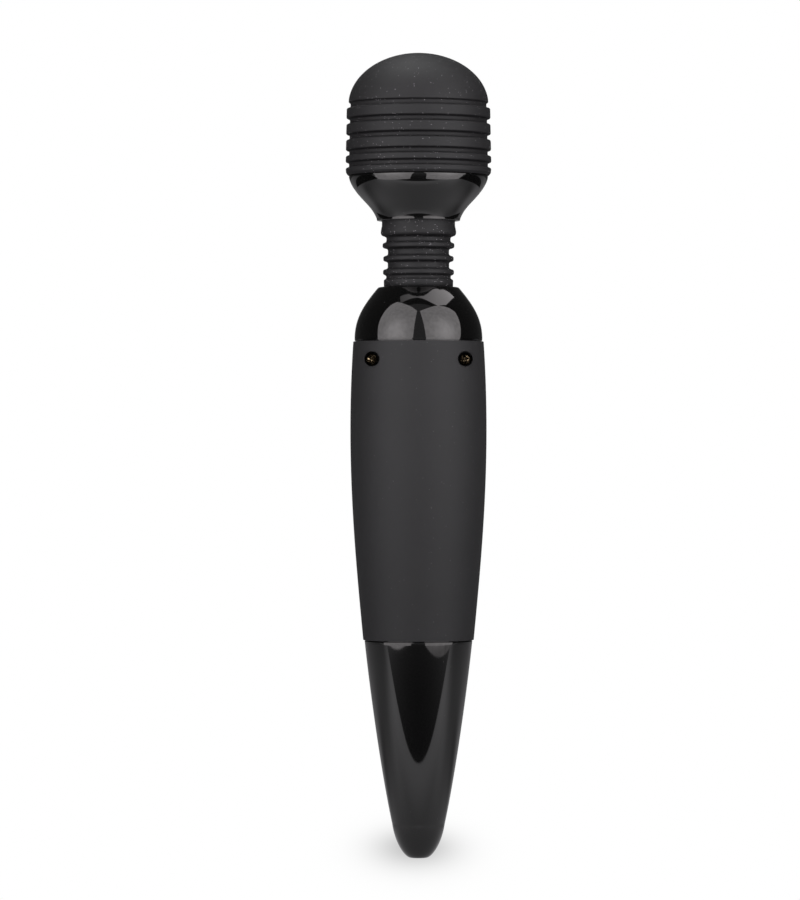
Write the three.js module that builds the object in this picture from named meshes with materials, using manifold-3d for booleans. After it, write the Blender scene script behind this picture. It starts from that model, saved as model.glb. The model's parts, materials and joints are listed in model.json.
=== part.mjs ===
// A cordless handheld wand massager, built as an assembly of separate pieces.
// Millimetres, +Z up. The origin is the centre of the tail's flat end face, +Z runs up the wand's
// axis to the head, and -Y is the front, where the buttons are.
import * as THREE from "three";
import { mergeVertices } from "three/addons/utils/BufferGeometryUtils.js";
import Module from "manifold-3d";

const wasm = await Module();
wasm.setup();

// ---------------------------------------------------------------- driving dimensions

const GAP = 0.2; // the joint line between neighbouring outer pieces
const WALL = 2; // moulded wall thickness

const TAIL_TOP = 72.9;
const GRIP_BOTTOM = TAIL_TOP + GAP;
const GRIP_TOP = 173.2;
const GRIP_WALL = 2.2;
const SHOULDER_BOTTOM = GRIP_TOP + GAP;
const SHOULDER_TOP = 191.4;
const CUP_BOTTOM = 214.1;
const CUP_SHELF = 228.7;
const DOME_BASE = 252.4; // where the head's sides turn into its dome
const HEAD_TOP = 270;

const CUP_RIM = CUP_BOTTOM - 0.4; // the cup's edge hangs a little below its floor

const TAIL_FACE_R = 3.2; // flat end face
const TAIL_SKIRT = { r: 16, bottom: 71, top: 80 }; // reaches up inside the grip
const TAIL_GROOVE = { r: 15.1, bottom: 76, top: 77.6 }; // the grip's rib sits in it
const JACK_HOLE_R = 1.6;
const JACK_R = 3;

const PARTING = 0.05; // half the gap between the grip's halves
const SHELL_SCREW = { x: 15.55, z: 167.1, seatY: 9.8, recessR: 2.5, bossR: 3.9, postR: 3.4, shankR: 1.2 };
const BOSS_FOOT = 3.2; // how near the back half's bosses come to the middle
const SHOULDER_SKIRT = { r: 19.35, bottom: 163.6 }; // reaches down inside the grip

const PANEL = { z: 131, length: 58, width: 17 };
const BUTTON = { r: 5.2, proud: 0.6, flangeDepth: 5.4, flangeR: 6.4 };
const BUTTON_Z = { speed_up: 144, power: 129, speed_down: 114 };
const LED_Z = 154.5;

const BOARD = { front: -10.2, back: -9, halfWidth: 11, bottom: 99, top: 163 };
const BOARD_POST = { x: 8.6, low: 104, high: 159, r: 1.9 };
const BOARD_SCREWS = [
  [-BOARD_POST.x, BOARD_POST.low],
  [BOARD_POST.x, BOARD_POST.high],
];
const CHASSIS = { front: -4.7, back: -3.2 };
const CELL = { r: 9.2, y: 7.2, bottom: 86, top: 151 };

const NECK_HOLE_R = 9.2; // in the shoulder and in the head cup
const BELLOWS_BORE_R = 8;
const SPRING = { r: 6.6, wireR: 0.8, bottom: 188.7, top: 216.9, turns: 9 };
const PLUG = { flangeR: 13.7, spigotR: 5.5, holeR: 3.2, spigot: 6, flange: 1.5, screwR: 12.2 };
const CRADLE_SCREW_R = 17.1;
const LEAD = { r: 0.6, x: 1.4 };

const MOTOR = { r: 12.2, bottom: 222, top: 250, wall: 1, shaftR: 1 };
const MAGNET = { inner: 9.5, outer: 11, bottom: 229, top: 246, edge: 2 };
const ROTOR = { r: 9, bottom: 230, top: 244, slotR: 1.8, slotAt: 8 };
const WEIGHT = { r: 9.4, hubR: 2.8, bottom: 254, top: 261.5 };
const CRADLE = { r: 14.8, inner: 13.5, flangeR: 18.8, flangeBottom: 225, flangeTop: 227 };
const CORE_R = 21.2; // hard shell under the silicone cap

const FAR = 30; // further out than any part of the wand
const BIG = 24; // sides of a large turned piece
const MEDIUM = 18;
const SMALL = 12;
const TINY = 8;

// ---------------------------------------------------------------- materials

const finish = (color, roughness, metalness = 0) =>
  new THREE.MeshStandardMaterial({ color, roughness, metalness });
const softTouch = finish(0x2c2c2e, 0.62);
const silicone = finish(0x262628, 0.7);
const glossBlack = finish(0x060607, 0.12);
const innerPlastic = finish(0x3a3a3c, 0.5);
const steel = finish(0x9a9a98, 0.3, 1);
const brass = finish(0x8c7748, 0.35, 1);
const magnet = finish(0x3b3b3f, 0.6, 0.3);
const copper = finish(0xa3603a, 0.4, 1);
const board = finish(0x14502e, 0.5);
const foam = finish(0x1b1b1c, 0.95);
const wrap = finish(0x2f5f9e, 0.35);
const redLead = finish(0x9c1b1b, 0.5);
const blackLead = finish(0x111111, 0.5);
const lens = finish(0xd8dce0, 0.2);

// ---------------------------------------------------------------- shape helpers

// A closed three.js geometry as a solid.
function solid(geometry) {
  const plain = geometry.clone();
  plain.deleteAttribute("normal");
  plain.deleteAttribute("uv");
  const merged = mergeVertices(plain, 1e-4);
  return new wasm.Manifold(
    new wasm.Mesh({
      numProp: 3,
      vertProperties: merged.attributes.position.array,
      triVerts: new Uint32Array(merged.index.array),
    }),
  );
}

// A solid as a three.js geometry.
function geometryOf(made) {
  const mesh = made.getMesh();
  const geometry = new THREE.BufferGeometry();
  geometry.setAttribute("position", new THREE.BufferAttribute(mesh.vertProperties, 3));
  geometry.setIndex(new THREE.BufferAttribute(mesh.triVerts, 1));
  geometry.computeVertexNormals();
  return geometry;
}

// Turns an outline of [radius, height] points about the Z axis. An outline that doesn't start and
// end on the axis closes on itself.
function turned(outline, sides = BIG) {
  const points = outline.map(([r, z]) => new THREE.Vector2(r, z));
  const onAxis = points[0].x === 0 && points.at(-1).x === 0;
  if (!onAxis) points.push(points[0].clone());
  if (THREE.ShapeUtils.area(points) < 0) points.reverse();
  return solid(new THREE.LatheGeometry(points, sides).rotateX(Math.PI / 2));
}

// Points along a cubic curve, each point [radius, height].
function curve(p0, p1, p2, p3, steps) {
  const ends = [p0, p1, p2, p3].map(([r, z]) => new THREE.Vector2(r, z));
  return new THREE.CubicBezierCurve(...ends).getPoints(steps).map((p) => [p.x, p.y]);
}

// Points over a quarter ellipse, from its widest point up to the axis.
function dome(width, height, base, steps) {
  const arc = new THREE.EllipseCurve(0, base, width, height, 0, Math.PI / 2);
  const points = arc.getPoints(steps).map((p) => [p.x, p.y]);
  points[steps][0] = 0;
  return points;
}

const rod = (r, z0, z1, x = 0, y = 0, sides = SMALL) =>
  solid(
    new THREE.CylinderGeometry(r, r, z1 - z0, sides)
      .rotateX(Math.PI / 2)
      .translate(x, y, (z0 + z1) / 2),
  );

// A rod that runs front to back.
const crossRod = (r, y0, y1, x, z, sides = SMALL) =>
  solid(new THREE.CylinderGeometry(r, r, y1 - y0, sides).translate(x, (y0 + y1) / 2, z));

const block = (x0, x1, y0, y1, z0, z1) =>
  solid(
    new THREE.BoxGeometry(x1 - x0, y1 - y0, z1 - z0).translate(
      (x0 + x1) / 2,
      (y0 + y1) / 2,
      (z0 + z1) / 2,
    ),
  );

// A round-ended upright slot, cut through from y0 to y1.
function stadium(width, length, z, y0, y1) {
  const r = width / 2;
  const straight = length / 2 - r;
  const shape = new THREE.Shape();
  shape.absarc(0, straight, r, 0, Math.PI);
  shape.absarc(0, -straight, r, Math.PI, 2 * Math.PI);
  const options = { depth: y1 - y0, bevelEnabled: false, curveSegments: 8 };
  return solid(
    new THREE.ExtrudeGeometry(shape, options).rotateX(Math.PI / 2).translate(0, y1, z),
  );
}

// A round wire along a path of [x, y, z] points.
function wire(points, r, steps, sides = 5) {
  const path = new THREE.CatmullRomCurve3(points.map((p) => new THREE.Vector3(...p)));
  return wireAlong(path, r, steps, sides);
}

function wireAlong(path, r, steps, sides) {
  const section = new THREE.Shape();
  for (let i = 0; i < sides; i++) {
    const a = (2 * Math.PI * i) / sides;
    section[i ? "lineTo" : "moveTo"](r * Math.cos(a), r * Math.sin(a));
  }
  return solid(new THREE.ExtrudeGeometry(section, { extrudePath: path, steps }));
}

const union = (first, ...rest) => rest.reduce((sum, next) => sum.add(next), first);
const cut = (first, ...rest) => rest.reduce((left, next) => left.subtract(next), first);

// Three places evenly round the axis, the first at the given angle in degrees.
function threeRound(r, first) {
  return [0, 120, 240].map((turn) => {
    const a = ((first + turn) * Math.PI) / 180;
    return [r * Math.cos(a), r * Math.sin(a)];
  });
}

// A pan-head screw at the origin: head above z = 0, shank below.
function screw(shankR, headR, headHeight, length, sides = TINY) {
  const tip = shankR * 0.4;
  return turned(
    [
      [0, -length],
      [tip, -length],
      [shankR, -length + 1.5],
      [shankR, 0],
      [headR, 0],
      [headR, headHeight * 0.55],
      [headR * 0.72, headHeight],
      [0, headHeight],
    ],
    sides,
  );
}

// The same screw with a cross recess in its head.
function crossScrew(shankR, headR, headHeight, length) {
  const reach = headR * 0.55;
  const slot = headR * 0.13;
  const floor = headHeight * 0.35;
  const across = block(-reach, reach, -slot, slot, floor, headHeight + 1);
  return cut(screw(shankR, headR, headHeight, length, SMALL), across, across.rotate([0, 0, 90]));
}

// ---------------------------------------------------------------- outer pieces

// Outer radius of the grip, from its lower to its upper edge, grown by a margin.
const gripCurve = (margin, steps) =>
  curve(
    [18.55 + margin, GRIP_BOTTOM],
    [21.6 + margin, 105],
    [24.4 + margin, 135.2],
    [21.88 + margin, GRIP_TOP],
    steps,
  );

// The grip's outer radius at a height.
function gripRadius(z) {
  const points = gripCurve(0, 40);
  const above = points.findIndex((p) => p[1] >= z);
  const [[r0, z0], [r1, z1]] = [points[above - 1], points[above]];
  return r0 + ((r1 - r0) * (z - z0)) / (z1 - z0);
}

function gripTube() {
  const outer = gripCurve(0, 7);
  const inner = gripCurve(-GRIP_WALL, 4);
  const edge = 0.6;
  outer[0] = [outer[0][0], outer[0][1] + edge];
  outer[7] = [outer[7][0], outer[7][1] - edge];
  outer.unshift([outer[0][0] - edge, GRIP_BOTTOM]);
  outer.push([outer.at(-1)[0] - edge, GRIP_TOP]);
  return turned([...outer, ...inner.reverse()]);
}

// The rib inside both halves of the grip that sits in the tail's groove.
function tailRib() {
  const [z0, z1] = [TAIL_GROOVE.bottom + GAP, TAIL_GROOVE.top - GAP];
  const inner = TAIL_GROOVE.r + 0.3;
  const outer = TAIL_SKIRT.r + 1.2;
  return turned([
    [inner, z0],
    [outer, z0],
    [outer, z1],
    [inner, z1],
  ]);
}

// The half of the grip's height range behind (side 1) or in front of (side -1) the parting line.
function halfSpace(side) {
  const [y0, y1] = side > 0 ? [PARTING, FAR] : [-FAR, -PARTING];
  return block(-FAR, FAR, y0, y1, GRIP_BOTTOM - 1, GRIP_TOP + 1);
}

const insideGrip = () => turned([[0, GRIP_BOTTOM], ...gripCurve(-GRIP_WALL / 2, 5), [0, GRIP_TOP]]);

function gripBackShell() {
  const { x, z, seatY, recessR, bossR, shankR } = SHELL_SCREW;
  let shell = union(gripTube(), tailRib());
  const bosses = [-x, x].map((at) => crossRod(bossR, BOSS_FOOT, FAR, at, z).intersect(insideGrip()));
  const cellRibs = [102, 138].map((at) =>
    cut(
      block(-11, 11, 9, FAR, at - 0.8, at + 0.8).intersect(insideGrip()),
      rod(CELL.r + 0.3, at - 1, at + 1, 0, CELL.y, MEDIUM),
    ),
  );
  shell = union(shell, ...bosses, ...cellRibs).intersect(halfSpace(1));
  const recesses = [-x, x].map((at) => crossRod(recessR, seatY, FAR, at, z, 16));
  const holes = [-x, x].map((at) => crossRod(shankR + 0.2, 0, FAR, at, z));
  return cut(shell, ...recesses, ...holes);
}

function gripFrontShell() {
  const { x, z, postR, shankR } = SHELL_SCREW;
  let shell = union(gripTube(), tailRib());
  const bosses = [-x, x].map((at) =>
    crossRod(postR, -FAR, CHASSIS.front - GAP, at, z).intersect(insideGrip()),
  );
  shell = union(shell, ...bosses).intersect(halfSpace(-1));
  const pilots = [-x, x].map((at) => crossRod(shankR + 0.05, -14, 0, at, z));
  return cut(shell, ...pilots, stadium(PANEL.width, PANEL.length, PANEL.z, -FAR, -10));
}

// A band of the grip's own shape, between two margins of its outer radius.
const gripBand = (outer, inner) =>
  turned([...gripCurve(outer, 7), ...gripCurve(inner, 4).reverse()]);

function controlPanel() {
  const plate = stadium(PANEL.width - 2 * GAP, PANEL.length - 2 * GAP, PANEL.z, -FAR, -10);
  const flange = stadium(PANEL.width + 4, PANEL.length + 4, PANEL.z, -FAR, -10);
  const made = union(
    plate.intersect(gripBand(0.25, -GRIP_WALL - 1.3)),
    flange.intersect(gripBand(-GRIP_WALL - 2 * GAP, -GRIP_WALL - 1.5)),
  );
  const holes = Object.values(BUTTON_Z).map((z) =>
    crossRod(BUTTON.r + 0.25, -FAR, -10, 0, z, MEDIUM),
  );
  return cut(made, ...holes, crossRod(1.6, -FAR, -10, 0, LED_Z));
}

function tailCone() {
  const tip = curve([TAIL_FACE_R, 0], [4.9, 0.2], [7.8, 4.4], [8.85, 11.5], 5);
  const cone = curve([8.85, 11.5], [12.4, 28], [16.2, 55], [18.1, TAIL_TOP], 4).slice(1);
  const skirt = TAIL_SKIRT.r;
  return turned([
    [JACK_HOLE_R, 0],
    ...tip,
    ...cone,
    [skirt, TAIL_TOP],
    [skirt, TAIL_GROOVE.bottom],
    [TAIL_GROOVE.r, TAIL_GROOVE.bottom],
    [TAIL_GROOVE.r, TAIL_GROOVE.top],
    [skirt, TAIL_GROOVE.top],
    [skirt, TAIL_SKIRT.top],
    [skirt - WALL, TAIL_SKIRT.top],
    [skirt - WALL, TAIL_SKIRT.bottom],
    ...curve([16.1, 70], [14, 54], [10.4, 28], [6.9, 12], 3),
    [JACK_R + 0.3, 3.6],
    [JACK_R + 0.3, 1.5],
    [JACK_HOLE_R, 1.5],
  ]);
}

function shoulderCollar() {
  const { x, z, bossR, postR, shankR } = SHELL_SCREW;
  const skirt = SHOULDER_SKIRT.r;
  const top = SHOULDER_TOP;
  let collar = turned([
    [skirt, SHOULDER_BOTTOM],
    [21.4, SHOULDER_BOTTOM],
    ...curve([21.45, 173.7], [21.5, 180.65], [18.7, 185.1], [13.95, 190.8], 6),
    [13.2, top],
    [NECK_HOLE_R, top],
    [NECK_HOLE_R, top - WALL],
    ...curve([13.4, top - WALL], [16.8, 185], [18.2, 181], [skirt - WALL, 174], 3),
    [skirt - WALL, SHOULDER_SKIRT.bottom],
    [skirt, SHOULDER_SKIRT.bottom],
  ]);
  const clear = bossR + 0.4;
  for (const at of [-x, x]) {
    const room = BOSS_FOOT - 0.1;
    const post = crossRod(postR, 0.2 - BOSS_FOOT, BOSS_FOOT - 0.2, at, z);
    collar = cut(collar, crossRod(clear, room, FAR, at, z), crossRod(clear, -FAR, -room, at, z));
    collar = union(collar, post.intersect(rod(skirt, 150, 180, 0, 0, BIG)));
    collar = cut(collar, crossRod(shankR + 0.2, -10, 10, at, z));
  }
  const bosses = threeRound(PLUG.screwR, 90).map(([bx, by]) =>
    rod(1.5, top - WALL - 1.7, top - 1, bx, by, TINY),
  );
  const pilots = threeRound(PLUG.screwR, 90).map(([bx, by]) =>
    rod(0.75, top - WALL - 3, top - 0.9, bx, by, TINY),
  );
  return cut(union(collar, ...bosses), ...pilots);
}

function headCup() {
  const flare = curve([14.02, CUP_RIM + 0.6], [14.82, 216.5], [16.15, 218.1], [17.35, 219.4], 3);
  const bowl = curve([17.35, 219.4], [18.73, 220.9], [22.9, 224.9], [23.35, 228.4], 4).slice(1);
  const inner = curve([19.4, 226], [18.8, 221], [13.9, 219.2], [13.4, CUP_BOTTOM + WALL], 3);
  let cup = turned([
    [12.7, CUP_RIM],
    [13.9, CUP_RIM],
    ...flare,
    ...bowl,
    [23.35, CUP_SHELF],
    [CORE_R, CUP_SHELF],
    [CORE_R, 237.8],
    [19.4, 237.8],
    ...inner,
    [NECK_HOLE_R, CUP_BOTTOM + WALL],
    [NECK_HOLE_R, CUP_BOTTOM + 0.4],
    [12.7, CUP_BOTTOM + 0.4],
  ]);
  const neckBosses = threeRound(PLUG.screwR, 90).map(([x, y]) =>
    rod(1.5, CUP_BOTTOM + 1, CUP_BOTTOM + WALL + 1.7, x, y, TINY),
  );
  const neckPilots = threeRound(PLUG.screwR, 90).map(([x, y]) =>
    rod(0.75, CUP_BOTTOM + 0.9, CUP_BOTTOM + WALL + 3, x, y, TINY),
  );
  const cradleBosses = threeRound(CRADLE_SCREW_R, 30).map(([x, y]) =>
    rod(2, 221.4, 224.8, x, y, TINY),
  );
  const cradlePilots = threeRound(CRADLE_SCREW_R, 30).map(([x, y]) =>
    rod(0.85, 221.9, 226, x, y, TINY),
  );
  cup = union(cup, ...neckBosses, ...cradleBosses);
  return cut(cup, ...neckPilots, ...cradlePilots);
}

function headCoreDome() {
  const lip = CORE_R - WALL;
  return turned(
    [
      ...dome(CORE_R, HEAD_TOP - DOME_BASE - 3.1, DOME_BASE, 5),
      ...dome(19.4, HEAD_TOP - DOME_BASE - 4.9, DOME_BASE, 4).reverse(),
      [19.4, 241.5],
      [lip - 1.6, 240],
      [lip - 1.6, 234],
      [lip, 234],
      [lip, 238],
      [CORE_R, 238],
    ],
    MEDIUM,
  );
}

// Heights of the grooves between the head cap's ribs, and how wide and deep each one is.
const GROOVE = { heights: [232.3, 236.3, 241.65, 247, 252.3], half: 1.1, depth: 1.2 };

function headCap() {
  const ribR = (z) => 24.1 + 0.02 * (250 - z);
  const sides = GROOVE.heights.flatMap((z) => {
    const above = z > DOME_BASE - 1 ? 23.5 : ribR(z);
    return [
      [ribR(z), z - GROOVE.half],
      [ribR(z) - GROOVE.depth, z],
      [above, z + GROOVE.half],
    ];
  });
  const bottom = CUP_SHELF + GAP;
  return turned([
    [CORE_R + 0.25, bottom],
    [23.6, bottom],
    [24.25, bottom + 0.9],
    ...sides,
    ...dome(23.5, HEAD_TOP - 253.4, 253.4, 7).slice(1),
    ...dome(CORE_R + 0.25, HEAD_TOP - DOME_BASE - 2.8, DOME_BASE, 5).reverse(),
  ]);
}

// The bellows: ribs between a lower and an upper collar, with a waist and a bead at each end that
// grip the shoulder's and the cup's holes like a grommet.
function neckBellows() {
  const waist = NECK_HOLE_R - 0.2;
  const bead = 10.5;
  const below = SHOULDER_TOP - WALL - GAP;
  const above = CUP_BOTTOM + WALL + GAP;
  const valleys = [
    [10.82, 194.75],
    [10.32, 198.9],
    [10.25, 203.25],
    [10.75, 207.45],
  ];
  const ribs = [
    [11.88, 196.5],
    [11.74, 200.95],
    [12.02, 205.3],
  ];
  const ribbed = valleys.flatMap(([r, z], i) => {
    const rib = ribs[i];
    const valley = [[r, z - 0.6], [r, z + 0.6]];
    return rib ? [...valley, [rib[0], rib[1] - 0.5], [rib[0], rib[1] + 0.5]] : valley;
  });
  return turned(
    [
      [BELLOWS_BORE_R, below - 1.5],
      [bead, below - 1.5],
      [bead, below],
      [waist, below],
      [waist, SHOULDER_TOP + 0.1],
      [11.55, SHOULDER_TOP + 0.1],
      [11.55, 193.9],
      ...ribbed,
      [12.4, 208.7],
      [12.62, 210],
      [12.25, 211.3],
      [12.25, CUP_BOTTOM + 0.2],
      [waist, CUP_BOTTOM + 0.2],
      [waist, above],
      [bead, above],
      [bead, above + 1.5],
      [BELLOWS_BORE_R, above + 1.5],
    ],
    MEDIUM,
  );
}

// ---------------------------------------------------------------- neck core

class Helix extends THREE.Curve {
  getPoint(t, target = new THREE.Vector3()) {
    const a = 2 * Math.PI * SPRING.turns * t;
    const z = SPRING.bottom + (SPRING.top - SPRING.bottom) * t;
    return target.set(SPRING.r * Math.cos(a), SPRING.r * Math.sin(a), z);
  }
}

const neckSpring = () => wireAlong(new Helix(), SPRING.wireR, SPRING.turns * 9, 4);

// A flanged plug that carries one end of the spring. Its flange face lies at z, and the spigot
// points up or down from there into the spring.
function springPlug(faceZ, up) {
  const far = faceZ + up * PLUG.spigot;
  const back = faceZ - up * PLUG.flange;
  const made = turned(
    [
      [PLUG.holeR, back],
      [PLUG.flangeR, back],
      [PLUG.flangeR, faceZ],
      [PLUG.spigotR, faceZ],
      [PLUG.spigotR, far],
      [PLUG.holeR, far],
    ],
    MEDIUM,
  );
  const holes = threeRound(PLUG.screwR, 90).map(([x, y]) => rod(0.95, back - 5, back + 5, x, y, TINY));
  return cut(made, ...holes);
}

const BASE_PLUG_FACE = SHOULDER_TOP - WALL - 1.8;
const TOP_PLUG_FACE = CUP_BOTTOM + WALL + 1.9;

const smallScrew = () => screw(0.7, 1.45, 1, 4.2);

// The two motor leads run from the board up through the neck to the motor's terminals.
const motorLead = (side) =>
  wire(
    [
      [side * 3.2, -8.2, 161],
      [side * 2.4, -7.6, 170],
      [side * LEAD.x, -1.5, 179],
      [side * LEAD.x, 0, 186],
      [side * LEAD.x, 0, 202],
      [side * LEAD.x, 0, 216],
      [side * 1.8, 0, 219.4],
      [side * 3.4, 0, 220.9],
      [side * 5.4, 0, 221.1],
    ],
    LEAD.r,
    22,
  );

// ---------------------------------------------------------------- head core

function motorCan() {
  const { r, bottom, top, wall, shaftR } = MOTOR;
  return turned(
    [
      [r - wall, bottom + 2.7],
      [r, bottom + 2.7],
      [r, top],
      [3, top],
      [3, top + 1.5],
      [shaftR + 0.08, top + 1.5],
      [shaftR + 0.08, top - wall],
      [r - wall, top - wall],
    ],
    MEDIUM,
  );
}

function motorEndBell() {
  const { r, bottom, wall, shaftR } = MOTOR;
  const bell = turned(
    [
      [shaftR + 0.08, bottom],
      [r, bottom],
      [r, bottom + 2.5],
      [r - wall - GAP, bottom + 2.5],
      [r - wall - GAP, bottom + 4],
      [r - 2 * wall - 1, bottom + 4],
      [r - 2 * wall - 1, bottom + 2.5],
      [shaftR + 0.08, bottom + 2.5],
    ],
    MEDIUM,
  );
  const terminals = [-6, 6].map((x) => block(x - 0.3, x + 0.3, -1.2, 1.2, bottom - 0.7, bottom + 1));
  return union(bell, ...terminals);
}

// One of the two arc magnets round the rotor.
function fieldMagnet(side) {
  const { inner, outer, bottom, top, edge } = MAGNET;
  const ring = turned(
    [
      [inner, bottom],
      [outer, bottom],
      [outer, top],
      [inner, top],
    ],
    MEDIUM,
  );
  const [x0, x1] = side > 0 ? [edge, FAR] : [-FAR, -edge];
  return ring.intersect(block(x0, x1, -FAR, FAR, bottom - 1, top + 1));
}

// The three-pole armature on the shaft.
function rotorCore() {
  const bore = MOTOR.shaftR + 0.1;
  const { r, bottom, top, slotR, slotAt } = ROTOR;
  const drum = turned(
    [
      [bore, bottom],
      [r, bottom],
      [r, top],
      [bore, top],
    ],
    MEDIUM,
  );
  const slots = threeRound(slotAt, 0).map(([x, y]) => rod(slotR, bottom - 1, top + 1, x, y, TINY));
  return cut(drum, ...slots);
}

const motorShaft = () => rod(MOTOR.shaftR, 222.6, 263, 0, 0, SMALL);

function eccentricWeight() {
  const { r, hubR, bottom, top } = WEIGHT;
  const disc = rod(r, bottom, top, 0, 0, MEDIUM);
  const half = disc.intersect(block(-FAR, FAR, 0, FAR, bottom - 1, top + 1));
  const bore = rod(MOTOR.shaftR + 0.1, bottom - 1, top + 1, 0, 0, SMALL);
  return cut(union(half, rod(hubR, bottom, top, 0, 0, SMALL)), bore);
}

const motorDamper = () =>
  turned(
    [
      [MOTOR.r + 0.15, 228.5],
      [13.25, 228.5],
      [13.25, 247],
      [MOTOR.r + 0.15, 247],
    ],
    MEDIUM,
  );

function motorCradle() {
  const { r, inner, flangeR, flangeBottom, flangeTop } = CRADLE;
  const floor = MOTOR.bottom - GAP;
  const lip = MOTOR.r - 1.6;
  const cradle = turned(
    [
      [lip, floor - 1],
      [r, floor - 1],
      [r, flangeBottom],
      [flangeR, flangeBottom],
      [flangeR, flangeTop],
      [r, flangeTop],
      [r, MOTOR.top],
      [inner, MOTOR.top],
      [inner, floor],
      [lip, floor],
    ],
    MEDIUM,
  );
  const holes = threeRound(CRADLE_SCREW_R, 30).map(([x, y]) => rod(1.15, 224, 228, x, y, TINY));
  const bossRoom = threeRound(CRADLE_SCREW_R, 30).map(([x, y]) => rod(2.5, 219, 224.9, x, y, TINY));
  return cut(cradle, ...holes, ...bossRoom);
}

const motorRetainer = () =>
  turned(
    [
      [3.4, MOTOR.top + 0.3],
      [CRADLE.r, MOTOR.top + 0.3],
      [CRADLE.r, MOTOR.top + 2],
      [3.4, MOTOR.top + 2],
    ],
    MEDIUM,
  );

// ---------------------------------------------------------------- handle core

function chassis() {
  const { front, back } = CHASSIS;
  const { x, z, postR, shankR } = SHELL_SCREW;
  const plate = block(-11.2, 11.2, front, back, 82, 170);
  const tongue = block(-8, 8, front, back, 74, 84);
  const walls = [-1, 1].map((side) =>
    block(side > 0 ? 9.8 : -11.2, side > 0 ? 11.2 : -9.8, back - 0.5, 4.5, 84, 153),
  );
  const bridge = block(-x, x, front, back, 164.5, 170);
  const ears = [-x, x].map((at) => crossRod(postR, front, back, at, z));
  const posts = [-BOARD_POST.x, BOARD_POST.x].flatMap((px) =>
    [BOARD_POST.low, BOARD_POST.high].map((pz) =>
      crossRod(BOARD_POST.r, BOARD.back + 0.05, front + 0.3, px, pz),
    ),
  );
  const made = union(plate, tongue, ...walls, bridge, ...ears, ...posts);
  const earHoles = [-x, x].map((at) => crossRod(shankR + 0.2, -FAR, FAR, at, z));
  const pilots = BOARD_SCREWS.map(([px, pz]) => crossRod(0.9, -FAR, front + 1, px, pz, TINY));
  const window = block(-7, 7, -8, 0, 154, 161.5);
  return cut(made, ...earHoles, ...pilots, window);
}

function controlBoard() {
  const { front, back, halfWidth, bottom, top } = BOARD;
  const plate = block(-halfWidth, halfWidth, front, back, bottom, top);
  const holes = BOARD_SCREWS.map(([x, z]) => crossRod(1.1, -FAR, 0, x, z, TINY));
  return cut(plate, ...holes);
}

function switchCase(z) {
  const front = BOARD.front - 0.05;
  return cut(
    block(-3, 3, front - 3.8, front, z - 3, z + 3),
    crossRod(1.9, front - 6, front - 2, 0, z, SMALL),
  );
}

const switchPlunger = (z) => crossRod(1.65, -15, -13, 0, z, SMALL);

function buttonCap(z) {
  const { r, proud, flangeDepth, flangeR } = BUTTON;
  const face = -gripRadius(z) - proud;
  const flangeY = -gripRadius(z) + flangeDepth;
  return union(
    crossRod(r, face, flangeY + 0.1, 0, z, MEDIUM),
    crossRod(flangeR, flangeY, flangeY + 1, 0, z, MEDIUM),
    crossRod(2.2, flangeY + 0.9, -15.05, 0, z),
  );
}

const lightPipe = () =>
  union(crossRod(1.4, -22.7, -12, 0, LED_Z), crossRod(2.6, -18.1, -17.3, 0, LED_Z));

const cell = () => {
  const { r, y, bottom, top } = CELL;
  return union(rod(r, bottom, top, 0, y, MEDIUM), rod(2.8, top - 0.5, top + 0.8, 0, y));
};

// A lead from either end of the cell through the chassis window to the back of the board.
const cellLead = (positive) =>
  positive
    ? wire([[0, 7.2, 152.6], [-3, 3, 156.5], [-4, -4, 157.6], [-4, -8.2, 157.6]], LEAD.r, 14)
    : wire(
        [
          [0, 7.2, 85.1],
          [4.5, 2.6, 84.7],
          [7.4, -0.6, 84.9],
          [8.3, -1.9, 90],
          [8.3, -1.9, 120],
          [8.1, -1.9, 150],
          [4.4, -4, 157.6],
          [4, -8.2, 157.6],
        ],
        LEAD.r,
        26,
      );

const chargeJack = () =>
  turned(
    [
      [1.35, 1.7],
      [JACK_R, 1.7],
      [JACK_R, 11],
      [0, 11],
      [0, 10],
      [1.35, 10],
    ],
    16,
  );

const jackRetainer = () =>
  turned(
    [
      [0, 11.2],
      [6.2, 11.2],
      [6.2, 13.2],
      [0, 13.2],
    ],
    16,
  );

// The charging leads, from the jack's retainer up the tail to the foot of the board.
const chargeLead = (side) =>
  wire(
    [
      [side * 2.4, 0, 13.9],
      [side * 3, -1, 30],
      [side * 4, -4, 55],
      [side * 4, -7.8, 78],
      [side * 4, -7.8, 99],
      [side * 4, -8.1, 103],
    ],
    LEAD.r,
    16,
  );

// ---------------------------------------------------------------- assembly

const wand = new THREE.Group();
wand.name = "wand_massager";

function add(name, made, material, place) {
  const mesh = new THREE.Mesh(geometryOf(made), material);
  mesh.name = name;
  if (place) place(mesh);
  wand.add(mesh);
}

function addHead() {
  add("head_cap", headCap(), silicone);
  add("head_core_dome", headCoreDome(), innerPlastic);
  add("head_cup", headCup(), glossBlack);
  add("motor_can", motorCan(), steel);
  add("motor_end_bell", motorEndBell(), innerPlastic);
  add("field_magnet_left", fieldMagnet(-1), magnet);
  add("field_magnet_right", fieldMagnet(1), magnet);
  add("motor_damper", motorDamper(), silicone);
  add("motor_cradle", motorCradle(), innerPlastic);
  add("motor_retainer", motorRetainer(), innerPlastic);
  threeRound(CRADLE_SCREW_R, 30).forEach(([x, y], i) =>
    add(`cradle_screw_${i + 1}`, screw(0.75, 1.7, 1.2, 5), steel, (m) => m.position.set(x, y, 227.1)),
  );
  add("motor_shaft", motorShaft(), steel);
  add("rotor_core", rotorCore(), copper);
  add("eccentric_weight", eccentricWeight(), steel);
}

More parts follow.
